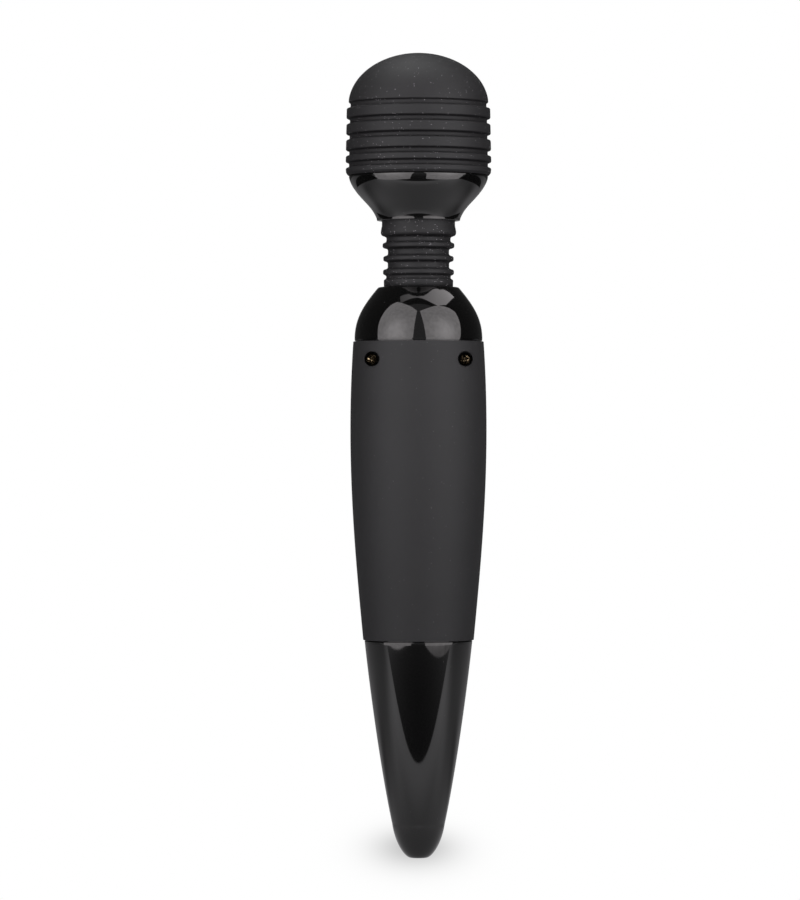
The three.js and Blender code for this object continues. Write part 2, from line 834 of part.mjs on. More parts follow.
function addNeck() {
  add("neck_bellows", neckBellows(), silicone);
  add("neck_spring", neckSpring(), steel);
  add("motor_lead_red", motorLead(1), redLead);
  add("motor_lead_black", motorLead(-1), blackLead);
  add("neck_top_plug", springPlug(TOP_PLUG_FACE, -1), innerPlastic);
  add("neck_base_plug", springPlug(BASE_PLUG_FACE, 1), innerPlastic);
  threeRound(PLUG.screwR, 90).forEach(([x, y], i) => {
    const topZ = TOP_PLUG_FACE + PLUG.flange + 0.1;
    const baseZ = BASE_PLUG_FACE - PLUG.flange - 0.1;
    add(`top_plug_screw_${i + 1}`, smallScrew(), steel, (m) => m.position.set(x, y, topZ));
    add(`base_plug_screw_${i + 1}`, smallScrew(), steel, (m) => {
      m.position.set(x, y, baseZ);
      m.rotation.x = Math.PI;
    });
  });
}

function addHandle() {
  add("shoulder_collar", shoulderCollar(), glossBlack);
  add("grip_back_shell", gripBackShell(), softTouch);
  add("grip_front_shell", gripFrontShell(), softTouch);
  add("tail_cone", tailCone(), glossBlack);
  for (const [name, side] of [["left", -1], ["right", 1]]) {
    const { x, z, seatY } = SHELL_SCREW;
    add(`shell_screw_${name}`, crossScrew(1.15, 2.1, 1.6, 20), brass, (m) => {
      m.position.set(-side * x, seatY + 0.05, z);
      m.rotation.x = -Math.PI / 2;
    });
  }
  add("chassis", chassis(), innerPlastic);
  add("battery_cell", cell(), wrap);
  add("battery_pad", block(-4, 4, -3.1, -2.1, 95, 142), foam);
  add("battery_lead_red", cellLead(true), redLead);
  add("battery_lead_black", cellLead(false), blackLead);
  add("charge_jack", chargeJack(), steel);
  add("jack_retainer", jackRetainer(), innerPlastic);
  add("charge_lead_red", chargeLead(1), redLead);
  add("charge_lead_black", chargeLead(-1), blackLead);
}

function addControls() {
  add("control_board", controlBoard(), board);
  BOARD_SCREWS.forEach(([x, z], i) =>
    add(`board_screw_${i + 1}`, screw(0.8, 1.8, 1.2, 5), steel, (m) => {
      m.position.set(x, BOARD.front - 0.05, z);
      m.rotation.x = Math.PI / 2;
    }),
  );
  const chip = block(-8, -4.2, BOARD.front - 1.3, BOARD.front - 0.05, 123, 130);
  add("controller_chip", chip, blackLead);
  add("control_panel", controlPanel(), glossBlack);
  for (const [name, z] of Object.entries(BUTTON_Z)) {
    add(`${name}_switch_case`, switchCase(z), innerPlastic);
    add(`${name}_switch_plunger`, switchPlunger(z), foam);
    add(`${name}_button`, buttonCap(z), silicone);
  }
  const led = block(-1.6, 1.6, BOARD.front - 1.2, BOARD.front - 0.05, LED_Z - 0.8, LED_Z + 0.8);
  add("status_led", led, lens);
  add("light_pipe", lightPipe(), lens);
}

addHead();
addNeck();
addHandle();
addControls();

export default wand;
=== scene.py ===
"""Looks for the handheld wand massager: fine surfaces, materials, studio and camera.

Sizes are in millimetres in the part's frame (+Z up the wand, -Y the control side). They are
turned into metres as each mesh is made.
"""

import json
import math
from functools import reduce

import bmesh
import bpy
import numpy as np
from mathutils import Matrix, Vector
from mathutils.geometry import delaunay_2d_cdt

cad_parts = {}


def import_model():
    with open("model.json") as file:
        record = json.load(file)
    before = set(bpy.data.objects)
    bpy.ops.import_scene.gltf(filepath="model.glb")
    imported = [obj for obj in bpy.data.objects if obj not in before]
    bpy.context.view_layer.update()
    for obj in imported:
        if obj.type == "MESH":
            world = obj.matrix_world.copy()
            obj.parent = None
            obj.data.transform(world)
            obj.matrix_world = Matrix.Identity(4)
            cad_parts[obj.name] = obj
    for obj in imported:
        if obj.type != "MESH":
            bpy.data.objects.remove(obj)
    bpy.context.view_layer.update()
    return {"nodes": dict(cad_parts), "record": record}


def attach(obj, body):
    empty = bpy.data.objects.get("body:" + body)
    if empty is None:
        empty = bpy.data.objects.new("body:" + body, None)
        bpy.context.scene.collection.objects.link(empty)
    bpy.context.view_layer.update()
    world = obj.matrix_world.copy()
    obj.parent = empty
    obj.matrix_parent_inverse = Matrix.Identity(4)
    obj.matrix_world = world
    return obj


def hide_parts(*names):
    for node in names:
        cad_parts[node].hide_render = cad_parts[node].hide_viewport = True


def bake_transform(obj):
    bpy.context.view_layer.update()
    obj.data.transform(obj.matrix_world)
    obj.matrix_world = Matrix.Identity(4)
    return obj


MM = 0.001
FINE = 192  # sides of a large turned surface
QUARTER = np.linspace(0, math.pi / 2, 6)  # steps of a rounded edge
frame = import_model()

# ---- dimensions

GAP = 0.2
WALL = 2.0
TAIL_TOP = 72.9
GRIP_BOTTOM = 73.1
GRIP_TOP = 173.2
GRIP_WALL = 2.2
GRIP_MEAN = 22.0  # radius at which the grip's surface is laid out flat
GRIP_EDGE = 0.22  # rounding of the grip's end edges
PARTING = 0.14  # rounding beside the parting line
PARTING_Y = 0.05
PARTING_REACH = math.pi / 2 - (PARTING_Y + PARTING) / 21.0  # angle from the middle to the parting line
SHOULDER_BOTTOM = 173.4
SHOULDER_TOP = 191.4
SHOULDER_SKIRT_R = 19.35
CUP_BOTTOM = 214.1
CUP_SHELF = 228.7
CUP_LIP = 0.4  # the rim hangs this far below the cup's floor
HEAD_TOP = 270.0
DOME_BASE = 252.4
CORE_R = 21.2
NECK_HOLE_R = 9.2
JACK_HOLE_R = 1.6
JACK_R = 3.0
TAIL_SKIRT_R = 16.0

TAIL_TIP = ((2.7, 0.0), (4.5, 0.15), (7.8, 4.4), (8.85, 11.5))
TAIL_CONE = ((8.85, 11.5), (12.4, 28.0), (16.2, 55.0), (18.1, TAIL_TOP))
TAIL_RIB = ((15.4, 76.2), (17.2, 76.2), (17.2, 77.4), (15.4, 77.4), (15.4, 76.2))
GRIP_SIDE = ((18.55, GRIP_BOTTOM), (21.6, 105.0), (24.4, 135.2), (21.88, GRIP_TOP))
SHOULDER_SIDE = ((21.45, 173.7), (21.5, 180.65), (18.7, 185.1), (13.95, 190.8))
CUP_FLARE = ((14.02, 214.35), (14.82, 216.5), (16.15, 218.1), (17.35, 219.4))
CUP_BOWL = ((17.35, 219.4), (18.73, 220.9), (22.9, 224.9), (23.35, 228.4))

CAP_GROOVES = (232.3, 236.3, 241.65, 247.0)
CAP_LAST_GROOVE = 252.3
GROOVE_DEPTH = 1.15
GROOVE_FLOOR = 0.68  # half the height of a groove's floor
GROOVE_MOUTH = 1.02  # half the height of its mouth

NECK_SEAMS = (198.8, 203.1, 207.3)  # groove floors where the bellows' pieces meet
NECK_ENDS = (191.4, *NECK_SEAMS, 213.8)
BELLOWS_RIBS = ((196.45, 11.9), (200.95, 11.8), (205.35, 12.05))  # height and radius
BELLOWS_FLOORS = (10.8, 10.3, 10.25, 10.75)
BELLOWS_BORE = 8.0
LEAD_PATH = (
    (3.2, -8.2, 161), (2.4, -7.6, 170), (1.4, -1.5, 179), (1.4, 0, 186), (1.4, 0, 202), (1.4, 0, 216),
    (1.8, 0, 219.4), (3.4, 0, 220.9), (5.4, 0, 221.1),
)

SCREW_SIDES = (-15.55, 15.55)
SCREW_Z = 167.1
SCREW_RECESS_R = 2.5
SCREW_SEAT_Y = 9.8
SHANK_R = 1.15
SCREW_LENGTH = 19.6
SCREW_PITCH = 1.0
SCREW_HEAD_R = 2.1
SCREW_HEAD = 1.6  # height of the head
BOSS_R = 3.9
POST_R = 3.4
BEAD = ((0.35, 0.0), (0.31, 0.05), (0.24, 0.08), (0.17, 0.08), (0.1, 0.04), (0.03, -0.04), (0.0, -0.16))

PANEL_Z = 131.0
PANEL_LENGTH = 58.0
PANEL_WIDTH = 17.0
PANEL_PROUD = 0.25
PANEL_DEPTH = 2.8
BUTTON_R = 5.2
BUTTON_PROUD = 0.6
BUTTON_Z = {"speed_up": 144.0, "power": 129.0, "speed_down": 114.0}
DISH = 0.35  # how far a key's face dips in the middle
DISH_R = 4.4
LED_Z = 154.5

TO_BACK = ((1, 0, 0), (0, 0, 1), (0, -1, 0))  # turns +Z to face +Y
TO_FRONT = ((1, 0, 0), (0, 0, -1), (0, 1, 0))  # turns +Z to face -Y

# ---- outlines


def unit(vectors):
    """A vector, or each row of an array, at length 1."""
    vectors = np.asarray(vectors, float)
    return vectors / np.linalg.norm(vectors, axis=-1, keepdims=True)


def bezier(ends, steps):
    """Points along a cubic curve given by its four control points."""
    t = np.linspace(0, 1, steps + 1)[:, None]
    u = 1 - t
    weights = np.hstack([u**3, 3 * u * u * t, 3 * u * t * t, t**3])
    return [tuple(p) for p in weights @ np.array(ends, float)]


def quarter_ellipse(width, height, base, start, steps):
    """From the angle start up to the axis, over the top of an ellipse."""
    angles = np.linspace(start, math.pi / 2, steps + 1)[:-1]
    points = [(width * math.cos(a), base + height * math.sin(a)) for a in angles]
    return [*points, (0.0, base + height)]


def rounded(corners, steps=5):
    """An outline with its corners rounded: a corner is (r, z) when sharp, or (r, z, radius)."""
    out = []
    for i, corner in enumerate(corners):
        here = np.array(corner[:2], float)
        if len(corner) < 3:
            out.append(tuple(here))
            continue
        arms = [np.array(corners[k][:2], float) - here for k in (i - 1, (i + 1) % len(corners))]
        before, after = unit(arms)
        half = math.acos(float(np.clip(before @ after, -1, 1))) / 2
        longest = 0.49 * np.linalg.norm(arms, axis=1).min()
        reach = min(corner[2] / math.tan(half), longest)
        centre = here + unit(before + after) * reach / math.cos(half)
        start = here + before * reach - centre
        end = here + after * reach - centre
        turn = math.pi - 2 * half
        for a in np.linspace(0, turn, steps + 1):
            spoke = (start * math.sin(turn - a) + end * math.sin(a)) / math.sin(turn)
            out.append(tuple(centre + spoke))
    return out


def smooth(a, b, x):
    """0 before a, 1 after b, eased between."""
    t = np.clip((x - a) / (b - a), 0, 1)
    return t * t * (3 - 2 * t)


def circle(x, z, radius, count=72):
    angles = 2 * math.pi * np.arange(count) / count
    return np.stack([x + radius * np.cos(angles), z + radius * np.sin(angles)], 1)


def three_round(radius, first):
    """Three places evenly round the axis, the first at this angle."""
    angles = [math.radians(first + 120 * k) for k in range(3)]
    return [(radius * math.cos(a), radius * math.sin(a)) for a in angles]


# ---- mesh building


def placed(name, data):
    """A new object in the scene."""
    made = bpy.data.objects.new(name, data)
    bpy.context.scene.collection.objects.link(made)
    return made


class Patchwork:
    """Vertices and faces collected from several patches, joined where they touch."""

    def __init__(self):
        self.verts = []
        self.faces = []

    def add(self, verts, faces):
        base = len(self.verts)
        self.verts.extend(tuple(v) for v in verts)
        self.faces.extend(tuple(base + i for i in f) for f in faces)
        return self

    def grid(self, rows, closed=False):
        """Rows of points, each row as long as the next."""
        rows = np.asarray(rows, float)
        count, width = rows.shape[:2]
        faces = []
        for here in range(0, (count - 1) * width, width):
            for j in range(width if closed else width - 1):
                k = (j + 1) % width
                faces.append((here + j, here + k, here + width + k, here + width + j))
        return self.add(rows.reshape(-1, 3), faces)

    def lathe(self, outline, sides=FINE, start=0.0, sweep=2 * math.pi):
        """Turns (radius, height) points about Z."""
        outline = np.array(outline, float)
        full = abs(sweep - 2 * math.pi) < 1e-9
        angles = start + sweep * np.arange(sides if full else sides + 1) / sides
        x = np.outer(outline[:, 0], np.cos(angles))
        y = np.outer(outline[:, 0], np.sin(angles))
        z = np.repeat(outline[:, 1:2], len(angles), 1)
        return self.grid(np.stack([x, y, z], -1), closed=full)

    def pipe(self, x, y, z0, z1, outer, inner, sides=32):
        """A short upright pipe or post, closed all over."""
        outline = [(inner, z0), (outer, z0), (outer, z1), (inner, z1), (inner, z0)]
        part = Patchwork().lathe(outline, sides)
        return self.add(np.array(part.verts) + (x, y, 0), part.faces)

    def moved(self, matrix, offset):
        """Every vertex turned by a 3 x 3 matrix and then shifted."""
        self.verts = [tuple(v) for v in np.array(self.verts) @ np.array(matrix, float).T + offset]
        return self

    def build(self, name, sharp=38.0):
        """The patches as one object; edges sharper than this angle stay hard."""
        mesh = bpy.data.meshes.new(name)
        mesh.from_pydata((np.array(self.verts) * MM).tolist(), [], self.faces)
        bm = bmesh.new()
        bm.from_mesh(mesh)
        bmesh.ops.remove_doubles(bm, verts=bm.verts, dist=1.5e-6)
        bmesh.ops.dissolve_degenerate(bm, edges=bm.edges, dist=1e-7)
        bmesh.ops.recalc_face_normals(bm, faces=bm.faces)
        bm.to_mesh(mesh)
        bm.free()
        mesh.shade_smooth()
        mesh.set_sharp_from_angle(angle=math.radians(sharp))
        return placed(name, mesh)


def carved(piece, cutter, sharp):
    """piece with cutter's shape taken away, as plain mesh data."""
    modifier = piece.modifiers.new("recess", "BOOLEAN")
    modifier.operation = "DIFFERENCE"
    modifier.solver = "EXACT"
    modifier.use_self = True
    modifier.object = cutter
    graph = bpy.context.evaluated_depsgraph_get()
    mesh = bpy.data.meshes.new_from_object(piece.evaluated_get(graph))
    mesh.materials.clear()
    mesh.set_sharp_from_angle(angle=math.radians(sharp))
    piece.modifiers.clear()
    piece.data = mesh
    bpy.data.objects.remove(cutter)
    return piece


def finish_piece(piece, slot_name, node, body=None, look=None):
    """Gives a piece the material of its slot, or of the look named instead, hides the CAD node it stands
    for and hangs it on the body it rides on, if one is named.
    """
    piece.data.materials.append(MATERIALS[look or slot_name])
    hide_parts(node)
    if body:
        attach(piece, body)


# ---- materials


class Graph:
    """The node tree of a material or world, with short-hands for its nodes."""

    def __init__(self, block):
        block.use_nodes = True
        self.block = block
        self.tree = block.node_tree

    def feed(self, socket, value):
        """Sets an input to a number, a vector, a colour or another node's output."""
        if isinstance(value, bpy.types.NodeSocket):
            self.tree.links.new(value, socket)
        elif socket.type == "RGBA":
            socket.default_value = (*value, 1)
        else:
            socket.default_value = value

    def node(self, kind, inputs=(), **settings):
        made = self.tree.nodes.new("ShaderNode" + kind)
        for key, value in settings.items():
            setattr(made, key, value)
        for key, value in dict(inputs).items():
            self.feed(made.inputs[key], value)
        return made

    def coords(self):
        return self.node("TexCoord").outputs["Object"]

    def math(self, operation, *values):
        return self.node("Math", dict(enumerate(values)), operation=operation).outputs[0]

    def add(self, *values):
        return reduce(lambda a, b: self.math("ADD", a, b), values)

    def times(self, *values):
        return reduce(lambda a, b: self.math("MULTIPLY", a, b), values)

    def vector(self, operation, *values, output=0):
        return self.node("VectorMath", dict(enumerate(values)), operation=operation).outputs[output]

    def ramp(self, value, low, high, out_low=0.0, out_high=1.0):
        """The range from low to high spread over another range."""
        ends = {"From Min": low, "From Max": high, "To Min": out_low, "To Max": out_high}
        return self.node("MapRange", {"Value": value, **ends}).outputs["Result"]

    def noise(self, size_mm, detail, stretch=(1, 1, 1)):
        """Noise with features of about this size."""
        place = self.vector("MULTIPLY", self.coords(), stretch)
        inputs = {"Vector": place, "Scale": 1 / (size_mm * MM), "Detail": detail}
        return self.node("TexNoise", inputs).outputs["Fac"]


class Shader(Graph):
    """A surface material. Its set method names the Principled inputs in short."""

    NAMES = {
        "color": "Base Color",
        "rough": "Roughness",
        "metal": "Metallic",
        "specular": "Specular IOR Level",
        "coat": "Coat Weight",
        "transmission": "Transmission Weight",
        "ior": "IOR",
        "glint": "Specular Tint",
    }

    def __init__(self, name):
        super().__init__(bpy.data.materials.new(name))
        self.body = self.tree.nodes["Principled BSDF"]

    def set(self, **values):
        for key, value in values.items():
            self.feed(self.body.inputs[self.NAMES[key]], value)

    def mix(self, factor, first, second):
        """Two colours mixed. Inputs 6 and 7 and output 2 are the node's colour sockets."""
        return self.node("Mix", {0: factor, 6: first, 7: second}, data_type="RGBA").outputs[2]

    def specks(self, spacing_mm, radius, share):
        """Small dust specks: 1 inside one, 0 outside. radius is in spacings."""
        cells = self.node("TexVoronoi", {"Vector": self.coords(), "Scale": 1 / (spacing_mm * MM)})
        near = self.ramp(cells.outputs["Distance"], radius, radius * 0.5)
        draw = self.node("SeparateColor", {0: cells.outputs["Color"]}).outputs[0]
        return self.times(near, self.math("LESS_THAN", draw, share))

    def painted_crease_shade(self, reach_mm):
        """Painted shade from ambient occlusion: 1 out in the open, less down in a crease about this wide.
        """
        inputs = {"Distance": reach_mm * MM}
        return self.node("AmbientOcclusion", inputs, samples=8, only_local=True).outputs["AO"]

    def painted_underside_shade(self):
        """Painted shade by facing: 1 on upright and upward faces, falling towards the undersides."""
        normal = self.node("NewGeometry").outputs["Normal"]
        height = self.node("SeparateXYZ", {0: normal}).outputs["Z"]
        return self.ramp(height, -0.8, -0.15, 0.25, 1.0)

    def bands(self, direction, **inputs):
        """Wavy lines across one axis."""
        wave = self.node("TexWave", {"Vector": self.coords()}, bands_direction=direction)
        for key, value in inputs.items():
            wave.inputs[key.replace("_", " ")].default_value = value
        return wave.outputs["Fac"]

    def bumps(self, height, strength, depth_mm):
        made = self.node("Bump", {"Height": height, "Strength": strength, "Distance": depth_mm * MM})
        self.feed(self.body.inputs["Normal"], made.outputs["Normal"])
        return self.block


def grey(value):
    return (value, value, value)


def tinted(value):
    """Grey leaning very slightly to violet."""
    return (value * 1.01, value * 0.98, value * 1.05)


def soft_material(name, dark, light, rough, specular, dust_share, dust_tone=0.25, crease_shade_mm=0):
    """Rubbery plastic: a fine grain, cloudy tone and pale dust, thicker in some places; given a crease
    reach, also painted shade that dims the specular in creases and on undersides.
    """
    s = Shader(name)
    grain = s.noise(0.22, 3)
    tone = s.mix(s.ramp(s.noise(14, 3), 0.3, 0.7), tinted(dark), tinted(light))
    drifts = s.ramp(s.noise(9, 2), 0.42, 0.66, 0.15, 1.0)
    fine_dust = s.specks(0.7, 0.16, s.times(drifts, dust_share))
    coarse_dust = s.specks(2.1, 0.065, s.times(drifts, dust_share * 1.3))
    dust = s.math("MAXIMUM", fine_dust, coarse_dust)
    # Painted shade: the specular is dimmed in creases and on downward faces, standing in for the shade that
    # falls there.
    if crease_shade_mm:
        painted_crease_shade = s.ramp(s.painted_crease_shade(crease_shade_mm), 0.5, 1.0, 0.1, 1.0)
        specular = s.times(painted_crease_shade, s.painted_underside_shade(), specular)
    s.set(color=s.mix(s.times(dust, 0.8), tone, tinted(dust_tone)))
    s.set(rough=s.ramp(grain, 0.2, 0.8, rough - 0.05, rough + 0.06))
    s.set(specular=specular, glint=(0.95, 0.98, 1.0))
    return s.bumps(s.add(grain, s.times(dust, 0.8)), 0.35, 0.02)


def gloss_material(name):
    """Polished black plastic: faint moulding waves, smears and dust."""
    s = Shader(name)
    smear = s.noise(9, 4, (1, 1, 0.45))
    s.set(color=s.mix(s.specks(2.2, 0.05, 0.25), grey(0.001), grey(0.06)))
    s.set(rough=s.ramp(smear, 0.3, 0.75, 0.02, 0.06), specular=0.5, ior=1.5)
    return s.bumps(s.noise(16, 1), 0.2, 0.03)


def metal_material(name, color, rough, streak=(1, 1, 0.15), size_mm=0.25):
    """Drawn or turned metal with fine streaks and slight tarnish."""
    s = Shader(name)
    lines = s.noise(size_mm, 3, streak)
    darker = tuple(c * 0.72 for c in color)
    s.set(color=s.mix(s.ramp(s.noise(3, 3), 0.35, 0.7), color, darker), metal=1.0)
    s.set(rough=s.ramp(lines, 0.25, 0.75, rough - 0.06, rough + 0.1))
    return s.bumps(lines, 0.2, 0.01)


def worn_screw_material(name):
    """Dark bronzed steel, rubbed bright in patches."""
    s = Shader(name)
    patches = s.ramp(s.noise(0.55, 2), 0.55, 0.64)
    s.set(color=s.mix(patches, (0.02, 0.015, 0.009), (0.42, 0.33, 0.2)), metal=1.0)
    s.set(rough=s.ramp(patches, 0, 1, 0.4, 0.22))
    return s.bumps(s.noise(0.3, 3), 0.5, 0.05)


def plastic_material(name, color, rough, grain_mm=0.4, coat=0.0):
    """Moulded plastic or insulation with a light spark-eroded texture."""
    s = Shader(name)
    grain = s.noise(grain_mm, 3)
    paler = tuple(min(1.0, c * 1.25 + 0.004) for c in color)
    s.set(color=s.mix(s.ramp(s.noise(10, 2), 0.3, 0.7), color, paler), coat=coat)
    s.set(rough=s.ramp(grain, 0.2, 0.8, rough - 0.06, rough + 0.08))
    return s.bumps(grain, 0.25, 0.02)


def board_material(name):
    """Solder-masked board with faint traces under the mask and tinned pads."""
    s = Shader(name)
    lines = s.ramp(s.bands("X", Scale=90, Distortion=9, Detail_Scale=0.6), 0.62, 0.68)
    mask = s.mix(lines, (0.006, 0.05, 0.02), (0.012, 0.10, 0.035))
    pads = s.specks(3.4, 0.17, 0.3)
    s.set(color=s.mix(pads, mask, (0.5, 0.5, 0.48)), metal=pads, rough=0.35)
    return s.bumps(s.add(lines, pads), 0.3, 0.03)


def winding_material(name):
    """Copper wire wound on a laminated core."""
    s = Shader(name)
    wires = s.bands("Z", Scale=620, Distortion=0.6)
    s.set(color=s.mix(wires, (0.20, 0.06, 0.02), (0.62, 0.26, 0.10)), metal=0.9, rough=0.3)
    return s.bumps(wires, 0.8, 0.15)


def lens_material(name):
    """Frosted clear plastic."""
    s = Shader(name)
    haze = s.ramp(s.noise(0.5, 2), 0.3, 0.7, 0.18, 0.32)
    s.set(color=(0.8, 0.84, 0.88), transmission=0.85, ior=1.49, rough=haze)
    return s.block


RECIPES = {
    "soft_touch": (soft_material, 0.0045, 0.0055, 0.64, 0.29, 0.10, 0.10),
    # The silicones' last number is the reach in mm of the painted crease shade.
    "silicone": (soft_material, 0.0045, 0.0055, 0.60, 0.235, 0.5, 0.30, 0.9),
    "dusty_silicone": (soft_material, 0.0045, 0.0055, 0.60, 0.225, 1.3, 0.35, 0.5),
    "gloss_black": (gloss_material,),
    "button_rubber": (soft_material, 0.006, 0.008, 0.45, 0.4, 0.06),
    "button_mark": (soft_material, 0.30, 0.34, 0.6, 0.4, 0.04),
    "inner_plastic": (plastic_material, (0.035, 0.035, 0.037), 0.5),
    "switch_stem": (plastic_material, (0.5, 0.07, 0.04), 0.45),
    "damper_rubber": (plastic_material, (0.008, 0.008, 0.008), 0.8, 0.7),
    "battery_foam": (plastic_material, (0.02, 0.02, 0.02), 0.95, 0.9),
    "bright_steel": (metal_material, (0.55, 0.55, 0.54), 0.28),
    "bronzed_screw": (worn_screw_material,),
    "magnet": (metal_material, (0.09, 0.09, 0.10), 0.55, (1, 1, 1), 0.6),
    "wound_core": (winding_material,),
    "circuit_board": (board_material,),
    "chip": (plastic_material, (0.012, 0.012, 0.012), 0.55, 0.2),
    "cell_wrap": (plastic_material, (0.02, 0.09, 0.33), 0.28, 1.2, 0.4),
    "red_lead": (plastic_material, (0.35, 0.012, 0.01), 0.42, 0.8),
    "black_lead": (plastic_material, (0.01, 0.01, 0.01), 0.42, 0.8),
    "clear_lens": (lens_material,),
}
MATERIALS = {name: make(name, *values) for name, (make, *values) in RECIPES.items()}


def dress_cad_nodes():
    """Every CAD node that stays in view takes its slot's material."""
    slots = {row["node"]: row["material_slot"] for row in frame["record"]["subparts"]}
    for name, node in frame["nodes"].items():
        node.data.materials.clear()
        node.data.materials.append(MATERIALS[slots[name]])


# ---- head


def rib_radius(z):
    """Outer radius of the cap's ribs at a height."""
    return 24.1 + 0.02 * (250 - z)


def head_cap():
    """The silicone cap: ribs with round-bottomed grooves between them, and a dome on top."""
    bottom = CUP_SHELF + GAP
    dome_centre = 252.35
    dome = quarter_ellipse(23.55, HEAD_TOP - dome_centre, dome_centre, 0.085, 70)
    corners = [(21.5, bottom), (23.7, bottom, 0.5), (24.3, bottom + 0.9, 0.7)]
    for z in CAP_GROOVES:
        outside = rib_radius(z)
        floor_r = outside - GROOVE_DEPTH
        corners += [(outside, z - GROOVE_MOUTH, 0.55), (floor_r, z - GROOVE_FLOOR, 0.6)]
        corners += [(floor_r, z + GROOVE_FLOOR, 0.6), (outside, z + GROOVE_MOUTH, 0.55)]
    z = CAP_LAST_GROOVE
    corners += [(rib_radius(z - 1), z - 0.98, 0.42), (22.8, z - 0.65, 0.65)]
    corners += [(22.8, z + 0.75, 0.65), (23.45, z + 1.1, 0.45), dome[2]]
    side = rounded(corners, 8)
    inner = quarter_ellipse(21.5, 14.9, DOME_BASE, 0.0, 24)[::-1]
    patch = Patchwork().lathe([*side, *dome[3:], *inner, side[0]])
    finish_piece(patch.build("head_cap_skin", 60), "silicone", "head_cap", "head")


def head_cup():
    """The glossy cup that the cap sits on, with posts for the screws inside."""
    rim = CUP_BOTTOM - CUP_LIP
    floor_z = CUP_BOTTOM + WALL
    lip = rounded([(12.7, CUP_BOTTOM + 0.5), (12.7, rim, 0.2), (13.95, rim, 0.3), CUP_FLARE[0]], 6)
    outline = [
        *lip[:-1],
        *bezier(CUP_FLARE, 36),
        *bezier(CUP_BOWL, 56)[1:],
        (23.3, CUP_SHELF - 0.05),
        (23.1, CUP_SHELF),
        (CORE_R, CUP_SHELF),
        (CORE_R, 237.7),
        (CORE_R - 0.3, 238.0),
        (19.4, 238.0),
        *bezier(((19.4, 226), (18.8, 221), (13.9, 219.2), (13.4, floor_z)), 24),
        (NECK_HOLE_R, floor_z),
        (NECK_HOLE_R, CUP_BOTTOM + 0.5),
    ]
    patch = Patchwork().lathe([*outline, outline[0]])
    for x, y in three_round(12.2, 90):
        patch.pipe(x, y, CUP_BOTTOM + 1, floor_z + 1.7, 1.5, 0.75)
    for x, y in three_round(17.1, 30):
        patch.pipe(x, y, 221.4, 224.8, 2.0, 0.85)
    finish_piece(patch.build("head_cup_shell", 32), "gloss_black", "head_cup", "head")


# ---- neck


def bend(piece):
    """Bakes a piece's placement into its mesh; the piece is not hung on any hinge and does not bend."""
    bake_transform(piece)


def bellows_side():
    """The bellows' outside between its collars, going up."""
    corners = [(11.6, 191.62), (11.65, 193.8, 0.5)]
    half, foot = 0.72, 1.2
    below = 194.3
    for (z, radius), floor_r in zip(BELLOWS_RIBS, BELLOWS_FLOORS):
        corners += [(floor_r, below, 0.8), (floor_r, z - foot, 0.7)]
        corners += [(radius, z - half, 0.66), (radius, z + half, 0.66)]
        below = z + foot
    corners += [(BELLOWS_FLOORS[-1], below, 0.8), (BELLOWS_FLOORS[-1], 208.15, 0.7)]
    corners += [(12.35, 208.75, 0.7), (12.7, 209.6, 1.2), (12.5, 210.9, 1.5), (12.27, 212.0, 2.0)]
    return np.array(rounded([*corners, (12.25, CUP_BOTTOM + 0.15)], 6))


def outline_between(outline, z0, z1):
    """The stretch of a rising outline between two heights."""
    inside = outline[(outline[:, 1] > z0 + 1e-6) & (outline[:, 1] < z1 - 1e-6)]
    ends = [(float(np.interp(z, outline[:, 1], outline[:, 0])), z) for z in (z0, z1)]
    return [ends[0], *map(tuple, inside), ends[1]]


def neck_bellows():
    """The bellows in four rings that meet in the grooves; each ring's placement is baked into its mesh, and
    none is hung on a hinge.
    """
    waist, bead_r = NECK_HOLE_R - 0.2, 10.5
    below = SHOULDER_TOP - WALL - GAP
    above = CUP_BOTTOM + WALL + GAP
    foot = [(BELLOWS_BORE, below - 1.5), (bead_r, below - 1.5), (bead_r, below), (waist, below)]
    foot += [(waist, 191.5), (11.5, 191.5)]
    head = [(12.25, CUP_BOTTOM + 0.3), (waist, CUP_BOTTOM + 0.3), (waist, above), (bead_r, above)]
    head += [(bead_r, above + 1.5), (BELLOWS_BORE, above + 1.5)]
    side = bellows_side()
    levels = (side[0][1], *NECK_SEAMS, side[-1][1])
    for i, (z0, z1) in enumerate(zip(levels, levels[1:])):
        bottom = foot if i == 0 else [(BELLOWS_BORE, z0)]
        top = head if i == 3 else [(BELLOWS_BORE, z1)]
        bore = [(BELLOWS_BORE, z) for z in np.linspace(top[-1][1], bottom[0][1], 14)[1:]]
        patch = Patchwork().lathe([*bottom, *outline_between(side, z0, z1), *top, *bore], 144)
        piece = patch.build(f"neck_bellows_ring_{i + 1}", 60)
        finish_piece(piece, "silicone", "neck_bellows", look="dusty_silicone")
        bend(piece)


def tube(points, radius, sides=14):
    """A closed round wire along a path."""
    path = np.array(points, float)
    along = unit(np.gradient(path, axis=0))
    side = np.cross(along[0], (0.0, 0.3, 1.0) if abs(along[0][2]) < 0.9 else (1.0, 0.0, 0.0))
    turns = 2 * math.pi * np.arange(sides) / sides
    rings = []
    for point, direction in zip(path, along):
        side = unit(side - direction * (side @ direction))
        spokes = np.outer(np.cos(turns), side) + np.outer(np.sin(turns), np.cross(direction, side))
        rings.append(point + radius * spokes)
    first, last = (np.repeat(ring.mean(0)[None], sides, 0) for ring in (rings[0], rings[-1]))
    return Patchwork().grid([first, *rings, last], closed=True)


